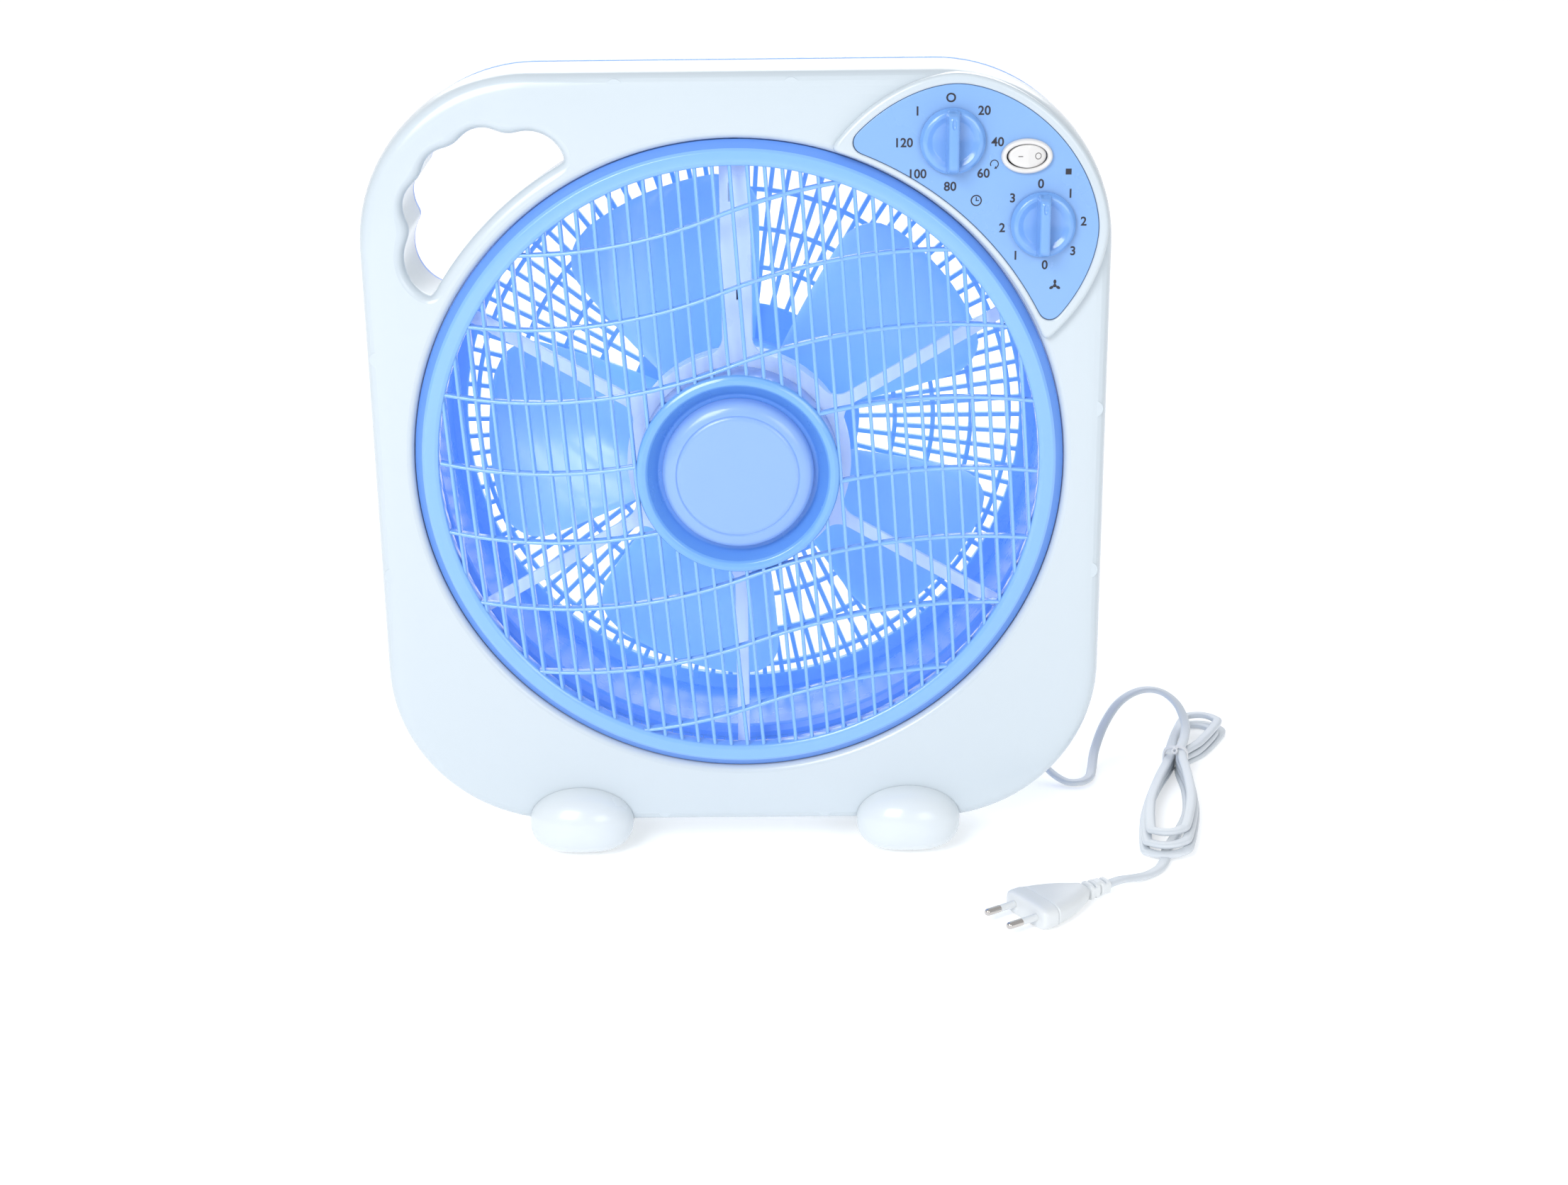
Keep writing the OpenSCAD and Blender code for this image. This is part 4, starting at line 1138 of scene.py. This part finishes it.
def make_blades():
    parts = []
    nu, nv = 36, 44
    for k in range(5):
        turn = BLADE_ANGLE + 72 * k
        vertices, faces = [], []
        for side in (-1, 1):
            for j in range(nv + 1):
                for i in range(nu + 1):
                    u, v = 2 * i / nu - 1, (j / nv) ** 0.85
                    rim = max(abs(u) ** 14, v ** 30)
                    off = side * BLADE_T / 2 * math.sqrt(max(0.0, 1 - 0.9 * rim))
                    r, angle, depth = blade_point(u, v, off)
                    a = math.radians(turn + angle)
                    vertices.append(world(r * math.cos(a), r * math.sin(a), depth))
        row, layer = nu + 1, (nu + 1) * (nv + 1)
        for side in (0, 1):
            for j in range(nv):
                for i in range(nu):
                    a = side * layer + j * row + i
                    faces.append((a, a + 1, a + row + 1, a + row))
        edge = ([(0, i) for i in range(nu)] + [(j, nu) for j in range(nv)]
                + [(nv, i) for i in range(nu, 0, -1)] + [(j, 0) for j in range(nv, 0, -1)])
        for n, (j, i) in enumerate(edge):
            j2, i2 = edge[(n + 1) % len(edge)]
            a, b = j * row + i, j2 * row + i2
            faces.append((a, b, b + layer, a + layer))
        parts.append(new_object("blade", vertices, faces, BLADE_BLUE))
    hub = [(4.1, HUB_BACK), (4.1, 70), (9, 70), (9, 93.9), (47, 93.9), (47, 59.3), (47.3, 59), (49.6, 59),
           (50, 59.5),
           (50, 95), (49.4, 96.4), (48, HUB_BACK)]
    parts.append(lathe("hub", hub, BLADE_BLUE))
    for k in range(5):
        a = math.radians(BLADE_ANGLE + 72 * k)
        c, s = math.cos(a), math.sin(a)
        parts.append(bar("hub_rib", (8 * c, 8 * s), (48 * c, 48 * s), 1.0, 85, 96, BLADE_BLUE, edge=0.3))
    return shade(join(parts, "blade_wheel"), 45, weighted=False)


stand_for(make_blades(), "blade", "fan_blade")

# ---------------------------------------------------------------- turning front grille

GRILLE_ANGLE = math.radians(4)
VANE_PITCH = 9.03
VANE_COUNT = 35
CROSSBAR_PITCH = 38.6
VANE_T = 2.0
VANE_DEPTH = 7.0
RING_IN, RING_FACE, RING_OUT = 160.5, 169.4, 173.6
HUB_R = 54.0
HUB_Z, RIM_Z = 15.0, 1.0
DOME_R = (RING_IN ** 2 - HUB_R ** 2) / (2 * (HUB_Z - RIM_Z))
DOME_D = math.sqrt(DOME_R ** 2 - HUB_R ** 2) - HUB_Z
WAVE_SPAN, WAVE_HEIGHT = 176.0, 13.0          # half of a crossbar's S
WAVE_R = (WAVE_SPAN ** 2 / 4 + WAVE_HEIGHT ** 2) / (2 * WAVE_HEIGHT)


def dome_depth(r):
    """Depth of the vanes' front edges at a distance from the axis."""
    return DOME_D - math.sqrt(DOME_R ** 2 - r * r)


def wave(x):
    """An S-shaped crossbar's height over its middle."""
    along = abs(x) - WAVE_SPAN / 2
    return math.copysign(WAVE_HEIGHT - WAVE_R + math.sqrt(WAVE_R ** 2 - along ** 2), x)


def grille_point(x, y, depth):
    c, s = math.cos(GRILLE_ANGLE), math.sin(GRILLE_ANGLE)
    return world(x * c - y * s, x * s + y * c, depth)


def strip(name, path, half_t, deep, front_shift=0.0):
    """A thin vane along a path of the front view, its rounded front edge on the dome."""
    rings = []
    for i, (x, y) in enumerate(path):
        ax, ay = path[max(i - 1, 0)]
        bx, by = path[min(i + 1, len(path) - 1)]
        run = Vector((bx - ax, by - ay)).normalized()
        top = dome_depth(math.hypot(x, y)) + front_shift
        section = [(-half_t * 0.8, deep), (-half_t, half_t), (-half_t * 0.87, half_t * 0.5),
                   (-half_t * 0.5, 0.13 * half_t),
                   (0, 0), (half_t * 0.5, 0.13 * half_t), (half_t * 0.87, half_t * 0.5), (half_t, half_t),
                   (half_t * 0.8, deep)]
        rings.append([grille_point(x - run.y * s, y + run.x * s, top + d) for s, d in section])
    return loft(name, rings, GRILLE_BLUE)


def spans(length_to_ring, gap):
    """The stretches of a bar outside the hub."""
    return [(-length_to_ring, -gap), (gap, length_to_ring)] if gap > 0 else [(-length_to_ring,
                                                                              length_to_ring)]


def make_vanes():
    parts = []
    reach = RING_IN + 1.2
    for k in range(VANE_COUNT):
        x = (k - (VANE_COUNT - 1) / 2) * VANE_PITCH
        end = math.sqrt(reach ** 2 - x * x)
        gap = math.sqrt((HUB_R - 1.2) ** 2 - x * x) if abs(x) < HUB_R - 1.2 else 0
        for low, high in spans(end, gap):
            steps = max(3, round((high - low) / 12))
            parts.append(strip("vane", [(x, low + (high - low) * i / steps) for i in range(steps + 1)],
                               VANE_T / 2, VANE_DEPTH))
    for j in range(8):
        y0 = (j - 3.5) * CROSSBAR_PITCH
        path = [(x, y0 + wave(x)) for x in [3.0 * i for i in range(-56, 57)]]
        run = []
        for point in path + [None]:
            inside = point is not None and HUB_R - 1.5 < math.hypot(*point) < RING_IN + 1.5
            if inside:
                run.append(point)
            elif run:
                if len(run) > 2:
                    parts.append(strip("crossbar", run, VANE_T / 2 + 0.05, VANE_DEPTH - 1.5, -0.12))
                run = []
    return parts


def make_grille():
    ring = lathe("ring", fillet([
        (RING_IN, 7, 0.3), (RING_IN, -1.2, 1.4), (RING_IN + 2.2, -2.0, 1.5), (168.0, -2.0, 0.9),
        (RING_FACE, -0.8, 0.9),
        (RING_OUT, 3.5, 0.8), (RING_OUT, 11, 0.3), (RING_OUT - 2, 11, 0.3), (RING_OUT - 2, 5.0, 1),
        (168, 0.9, 0.6),
        (RING_IN + 2, 0.9, 0.6), (RING_IN + 2, 7, 0.3)], 4), GRILLE_BLUE, sides=288)
    # painted shade: the ring's outer side gets the deeper blue
    tint(ring, RING_SIDE_SHADE_BLUE, lambda r, depth: r > RING_FACE + 0.1)
    hub = lathe("hub", fillet([
        (51.4, 6, 0.3), (54, 6, 0.3), (54, -14.6, 0.8), (53.3, -16.2, 1.2), (51.4, -17, 1.6),
        (49.0, -16.6, 1.3),
        (48, -15.2, 0.8), (42.8, -9.4, 1.6), (6.5, -9.4, 0.3), (6.5, -13, 0.3), (3.02, -13, 0.2),
        (3.02, -7, 0.2),
        (41.6, -7, 1), (47, -13, 1), (51.4, -13.4, 0.5)], 4), HUB_BLUE, sides=192)
    # painted shade: the hub's recess gets the darker blue
    tint(hub, RECESS_SHADE_BLUE, lambda r, depth: r < 47.9)
    return shade(join([ring, hub] + make_vanes(), "front_grille"), 40, weighted=False)


def make_cap():
    top = 19.0
    section = [(0, -top + 0.35), (4, -top + 0.3), (16, -top + 0.1), (30, -top + 0.15), (31.7, -top + 0.25),
               (32.4, -top + 0.95),
               (33.1, -top + 0.35), (34, -top + 0.5), (36.2, -top + 1.0), (38.0, -top + 2.0),
               (39.3, -top + 3.5),
               (40.1, -top + 5.6), (40.4, -top + 8), (40.4, -9.6), (38.4, -9.6), (38.4, -12.4), (36, -15.4),
               (0, -16.6)]
    return shade(lathe("hub_cap", section, CAP_BLUE, sides=192), 50, weighted=False)


stand_for(make_grille(), "grille", "rotor_grille")
stand_for(make_cap(), "grille", "grille_cap")

# ---------------------------------------------------------------- control panel


def pierced_plate(name, outline, holes, front, back, edge, material, steps=4):
    """A slab between two depths with holes through it and a rounded front edge."""
    loops = [(outline, back), (outline, front + edge)]
    for k in range(1, steps + 1):
        angle = math.pi / 2 * k / steps
        loops.append((grow(outline, -edge * (1 - math.cos(angle))), front + edge * (1 - math.sin(angle))))
    vertices, faces = [], []

    def skin(loops):
        starts = []
        for loop, depth in loops:
            starts.append(len(vertices))
            vertices.extend(ring_at(loop, depth))
        sides = len(loops[0][0])
        for a, b in zip(starts, starts[1:]):
            faces.extend((a + k, a + (k + 1) % sides, b + (k + 1) % sides, b + k) for k in range(sides))
        return range(starts[0], starts[0] + sides), range(starts[-1], starts[-1] + sides)

    ends = [skin(loops)] + [skin([(hole, back), (hole, front)]) for hole in holes]
    for end in (0, 1):
        rims = [list(pair[end]) for pair in ends]
        numbers = [i for rim in rims for i in rim]
        triangles = tessellate_polygon([[vertices[i] for i in rim] for rim in rims])
        faces.extend(tuple(numbers[k] for k in triangle) for triangle in triangles)
    return new_object(name, vertices, faces, material)


def make_fascia():
    loops = sorted(cut_loops("control_panel", -FASCIA_TOP + 0.6), key=lambda l: abs(area(l)))
    outline = relax(even(loops[-1], 1.2), 3)
    holes = [circle(x, y, 5.0, 48) for x, y in (TIMER_AT, SPEED_AT)]
    x, y = ROCKER_AT
    holes.append([(x + a, y + b) for a, b in squircle(11.0, 6.7, 2)])
    return shade(pierced_plate("fascia", outline, holes, -FASCIA_TOP, -0.2, 0.5, PANEL_BLUE), 35)


MARK_TOP = FASCIA_TOP + 0.05


def text_mark(text, x, y, size):
    curve = bpy.data.curves.new("mark", "FONT")
    curve.body = text
    curve.size = size * MM
    curve.align_x = "CENTER"
    curve.align_y = "CENTER"
    curve.extrude = 0.04 * MM
    curve.offset = 0.13 * MM
    curve.space_character = 1.02
    holder = bpy.data.objects.new("mark", curve)
    bpy.context.scene.collection.objects.link(holder)
    bpy.context.view_layer.update()
    mesh = bpy.data.meshes.new_from_object(holder.evaluated_get(bpy.context.evaluated_depsgraph_get()))
    bpy.data.objects.remove(holder)
    mesh.transform(Matrix.Translation(world(x, y, -MARK_TOP)) @ Matrix.Rotation(math.pi / 2, 4, "X"))
    obj = bpy.data.objects.new("mark", mesh)
    bpy.context.scene.collection.objects.link(obj)
    return paint(obj, INK)


def flat_mark(outline, hole=None):
    """A printed shape given by its outline, with a hole of as many points if there is one."""
    front, back = -MARK_TOP - 0.03, -MARK_TOP + 0.1
    if hole:
        rings = [ring_at(outline, back), ring_at(outline, front), ring_at(hole, front), ring_at(hole, back)]
        return loft("mark", rings, INK, ring_loop=True)
    return loft("mark", [ring_at(outline, back), ring_at(outline, front)], INK)


def circle(x, y, r, steps=32):
    return [(x + r * math.cos(math.tau * k / steps),
             y + r * math.sin(math.tau * k / steps)) for k in range(steps)]


def stroke(x1, y1, x2, y2, w):
    run = Vector((x2 - x1, y2 - y1)).normalized() * w / 2
    return [(x1 + run.y, y1 - run.x), (x2 + run.y, y2 - run.x), (x2 - run.y, y2 + run.x),
            (x1 - run.y, y1 + run.x)]


def turn_arrow(x, y, r, w):
    """A three-quarter ring with an arrowhead: the grille turns."""
    angles = [math.radians(-60 + 270 * k / 24) for k in range(25)]
    outer = [(x + (r + w / 2) * math.cos(a), y + (r + w / 2) * math.sin(a)) for a in angles]
    inner = [(x + (r - w / 2) * math.cos(a), y + (r - w / 2) * math.sin(a)) for a in angles]
    parts = [flat_mark(outer + inner[::-1])]
    tip = angles[0]
    c, s = math.cos(tip), math.sin(tip)
    parts.append(flat_mark([(x + (r - 1.6 * w) * c, y + (r - 1.6 * w) * s),
                            (x + (r + 1.6 * w) * c, y + (r + 1.6 * w) * s),
                            (x + r * c + 2.6 * w * s, y + r * s - 2.6 * w * c)][::-1]))
    return parts


def make_marks():
    """Dial numbers, and plain signs in place of words."""
    parts = []
    cx, cy = TIMER_AT[0] - 1.0, TIMER_AT[1] - 1.0
    for k, text in enumerate(("O", "20", "40", "60", "80", "100", "120", "I")):
        a = math.radians(90 - 45 * k)
        parts.append(text_mark(text, cx + 24 * math.cos(a), cy + 22.4 * math.sin(a), 6.4))
    cx, cy = SPEED_AT[0], SPEED_AT[1] - 0.4
    for k, text in enumerate(("0", "1", "2", "3") * 2):
        a = math.radians(94 - 45 * k)
        parts.append(text_mark(text, cx + 21 * math.cos(a), cy + 21 * math.sin(a), 6.4))
    x, y = 124.5, 142
    parts.append(flat_mark(circle(x, y, 2.9), circle(x, y, 2.25)))
    parts.append(flat_mark(stroke(x, y - 0.25, x, y + 1.8, 0.5)))
    parts.append(flat_mark(stroke(x - 0.25, y, x + 1.4, y, 0.5)))
    x, y = 166, 97.5
    parts.append(flat_mark(circle(x, y, 0.9)))
    for k in range(3):
        a = math.radians(90 + 120 * k)
        petal = [(x + 2.0 * math.cos(a) + 1.2 * math.cos(t) * math.cos(a) - 0.75 * math.sin(t) * math.sin(a),
                  y + 2.0 * math.sin(a) + 1.2 * math.cos(t) * math.sin(a) + 0.75 * math.sin(t) * math.cos(a))
                 for t in [math.tau * j / 20 for j in range(20)]]
        parts.append(flat_mark(petal))
    parts += turn_arrow(133.5, 160.5, 2.0, 0.5)
    parts.append(flat_mark([(170, 154.8), (173, 154.8), (173, 157.8), (170, 157.8)]))
    obj = join(parts, "dial_marks")
    clean(obj)
    return obj


def make_knob(name, centre):
    base = FASCIA_TOP + 0.6
    x0, y0 = centre
    skirt = fillet([
        (0, -base, 0), (16.8, -base, 0.4), (16.75, -base - 2.2, 1.4), (15.2, -base - 4.7, 1.6),
        (13.4, -base - 5.2, 1.6),
        (10.5, -base - 3.9, 3.0), (0, -base - 2.8, 0)], 5)
    knob = lathe("skirt", skirt, KNOB_BLUE, centre=centre, sides=120)
    rings = []
    count = 40
    for i in range(count + 1):
        share = -1 + 2 * i / count
        y = 15.9 * share
        fall = max(0.0, (abs(share) - 0.72) / 0.28)
        top = base + 4.2 + 9.8 * math.sqrt(max(0.0, 1 - fall ** 2.2))
        low_half = min(4.1, math.sqrt(max(0.05, 16.1 ** 2 - y * y)))
        high_half = low_half * 0.62
        ring = fillet([(-low_half, -base - 1, 0), (-high_half, -top, high_half * 0.75),
                       (high_half, -top, high_half * 0.75), (low_half, -base - 1, 0)], 4)
        rings.append([world(x0 + a, y0 + y, d) for a, d in ring])
    boolean(knob, loft("grip", rings), "UNION")
    dent = [[world(x0 + 1.15 * math.cos(t) * s, y0 + 9.6 + 2.6 * math.sin(t) * s, -base - 14.4 + h)
             for t in [math.tau * j / 20 for j in range(20)]] for s,
            h in ((1.25, -0.6), (1.05, 0.4), (0.8, 0.95), (0.35, 1.25))]
    boolean(knob, loft("dent", dent))
    boolean(knob, lathe("socket", [(0, 1), (3.0, 1), (3.0, -base - 8.8), (0, -base - 8.8)], centre=centre,
                        sides=32))
    clean(knob)
    knob.name = name
    return shade(paint(knob, KNOB_BLUE), 38)


def ellipse_ring(half_w, half_h, depth, centre, steps=64):
    return [world(centre[0] + half_w * math.cos(math.tau * k / steps),
                  centre[1] + half_h * math.sin(math.tau * k / steps),
                  depth) for k in range(steps)]


def make_bezel():
    low, high = -FASCIA_TOP - 0.2, -FASCIA_TOP - 3.0
    section = [(2.4, low), (2.4, low - 1.0), (2.15, low - 1.9), (1.6, high + 0.25), (1.0, high),
               (0.3, high + 0.12),
               (-0.2, high + 0.55), (-0.35, high + 1.1), (-0.35, low)]
    rings = [ellipse_ring(10.8 + out, 6.5 + out, depth, ROCKER_AT) for out, depth in section]
    return shade(loft("rocker_frame", rings, WARM_WHITE, ring_loop=True), 50)


ROCKER_TILT = math.radians(8)


def make_rocker():
    """A two-way key: its cap is bent in the middle, and its left end stands proud at rest."""
    half_w, half_h = 9.9, 5.9
    pivot = JOINTS["rocker_tilt"]["pos_m"]
    rings = []
    for share, lift in ((1.0, 0.4), (1.0, 4.0), (0.985, 4.45), (0.95, 4.75), (0.88, 4.9), (0.6, 4.9),
                        (0.3, 4.9)):
        ring = []
        for k in range(72):
            x = half_w * share * math.cos(math.tau * k / 72)
            y = half_h * share * math.sin(math.tau * k / 72)
            bend = abs(x) * math.tan(ROCKER_TILT) if lift > 1 else 0
            ring.append(Vector((x, -(lift - bend), y)))
        rings.append(ring)
    marks = [((-4.0, 0), 1.2, None), ((5.2, 0), 1.75, 1.3)]
    spots = []
    for (mx, my), r, hole in marks:
        slope = math.tan(ROCKER_TILT)

        def put(x, y, out):
            return Vector((x, -(4.9 - abs(x) * slope + out), y))
        if hole:
            outer, inner = circle(mx, my, r), circle(mx, my, hole)
            spots.append(([[put(*p, -0.2) for p in outer], [put(*p, 0.03) for p in outer],
                           [put(*p, 0.03) for p in inner],
                           [put(*p, -0.2) for p in inner]], True))
        else:
            box = [(mx - r, my - 0.25), (mx + r, my - 0.25), (mx + r, my + 0.25), (mx - r, my + 0.25)]
            spots.append(([[put(*p, -0.2) for p in box], [put(*p, 0.03) for p in box]], False))
    turn = Matrix.Translation(pivot) @ Matrix.Rotation(ROCKER_TILT, 4, "Z") @ Matrix.Scale(MM, 4)
    parts = [loft("key", [[turn @ p for p in ring] for ring in rings], WARM_WHITE)]
    parts += [loft("spot", [[turn @ p for p in ring] for ring in shape], GREY_INK, ring_loop=closed)
              for shape, closed in spots]
    return shade(join(parts, "rocker_key"), 45, weighted=False)


stand_for(make_fascia(), "stand", "control_panel")
marks = make_marks()
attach(marks, "stand")
stand_for(make_knob("timer_dial", TIMER_AT), "timer", "timer_knob")
stand_for(make_knob("speed_dial", SPEED_AT), "speed", "speed_knob")
stand_for(make_bezel(), "stand", "rocker_bezel")
stand_for(make_rocker(), "rocker_key", "rocker")

# ---------------------------------------------------------------- feet


def make_foot(node, name):
    """A bar with domed ends that the housing stands in."""
    low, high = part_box(node)
    half_w = (high.x - low.x) / 2
    x0 = (low.x + high.x) / 2
    half_h = 19 * MM
    z0 = low.z + half_h
    dome = 19 * MM
    rings = []
    stations = [math.radians(3 + 87 * k / 16) for k in range(17)]
    nose = [(low.y + dome * (1 - math.cos(a)), math.sin(a)) for a in stations]
    tail = [(high.y - dome * (1 - math.cos(a)), math.sin(a)) for a in stations[::-1]]
    middle = [(nose[-1][0] + (tail[0][0] - nose[-1][0]) * k / 8, 1.0) for k in range(1, 8)]
    for y, share in nose + middle + tail:
        ring = []
        for k in range(72):
            c, s = math.cos(math.tau * k / 72), math.sin(math.tau * k / 72)
            reach = share if s > 0 else share * (abs(c) ** 2.7 + abs(s) ** 2.7) ** (-1 / 2.7)
            ring.append(Vector((x0 + half_w * reach * c, y, z0 + half_h * reach * s)))
        rings.append(ring)
    foot = loft(name, rings, FOOT_WHITE)
    saddle = loft("saddle", [[p - Vector((0, 0, 0.2 * MM)) for p in ring_at(body_outline(inset, 12), depth)]
                             for inset, depth in (
        (-0.2, BACK_FACE + 0.3), (-0.2, 30), (0.1, 18), (0.7, 9.5), (1.5, 6.0), (2.5, 3.7), (4.0, 1.95),
        (6.0, 0.85),
        (9.0, 0.25), (13.0, -0.1), (20.0, -0.3))])
    boolean(foot, saddle)
    return shade(paint(foot, FOOT_WHITE), 40)


stand_for(make_foot("left_foot", "foot_left"), "stand", "left_foot")
stand_for(make_foot("right_foot", "foot_right"), "stand", "right_foot")

# ---------------------------------------------------------------- floor and light


def add_floor():
    depth, height, bend, width = 3.0, 3.0, 1.2, 4.0
    profile = [(-2.5, 0), (depth - bend, 0)]
    profile += [(depth - bend + bend * math.sin(a), bend * (1 - math.cos(a)))
                for a in (math.radians(6 * k) for k in range(1, 16))]
    profile.append((depth, height))
    vertices = [Vector((x, y, z)) for x in (-width, width) for y, z in profile]
    n = len(profile)
    faces = [(i, n + i, n + i + 1, i + 1) for i in range(n - 1)]
    mesh = bpy.data.meshes.new("floor")
    mesh.from_pydata([tuple(v) for v in vertices], [], faces)
    mesh.shade_smooth()
    floor = bpy.data.objects.new("floor", mesh)
    bpy.context.scene.collection.objects.link(floor)
    material, _, _, shader = material_base("paper_floor", (0.90, 0.90, 0.90), 0.7)
    shader.inputs["Emission Color"].default_value = (1, 1, 1, 1)
    shader.inputs["Emission Strength"].default_value = 0.3
    mesh.materials.append(material)


def area_light(name, place, aim, size, power, color=(1, 1, 1)):
    data = bpy.data.lights.new(name, "AREA")
    data.shape = "RECTANGLE"
    data.size, data.size_y = size
    data.energy = power
    data.color = color
    light = bpy.data.objects.new(name, data)
    light.location = place
    light.rotation_euler = (Vector(aim) - Vector(place)).to_track_quat("-Z", "Y").to_euler()
    bpy.context.scene.collection.objects.link(light)


def add_lights():
    world_data = bpy.data.worlds.new("studio")
    world_data.use_nodes = True
    background = world_data.node_tree.nodes["Background"]
    background.inputs["Color"].default_value = (0.93, 0.96, 1.0, 1)
    background.inputs["Strength"].default_value = 0.6
    bpy.context.scene.world = world_data
    area_light("key", (-1.0, -2.1, 1.6), (0, 0, 0.2), (1.2, 1.2), 42)
    area_light("fill", (1.3, -2.2, 1.0), (0, 0, 0.2), (1.0, 1.0), 10)
    area_light("back", (0.0, 1.6, 1.2), (0, 0.0, 0.25), (1.6, 1.2), 12)


add_floor()
add_lights()
bpy.context.scene.view_settings.view_transform = "Standard"
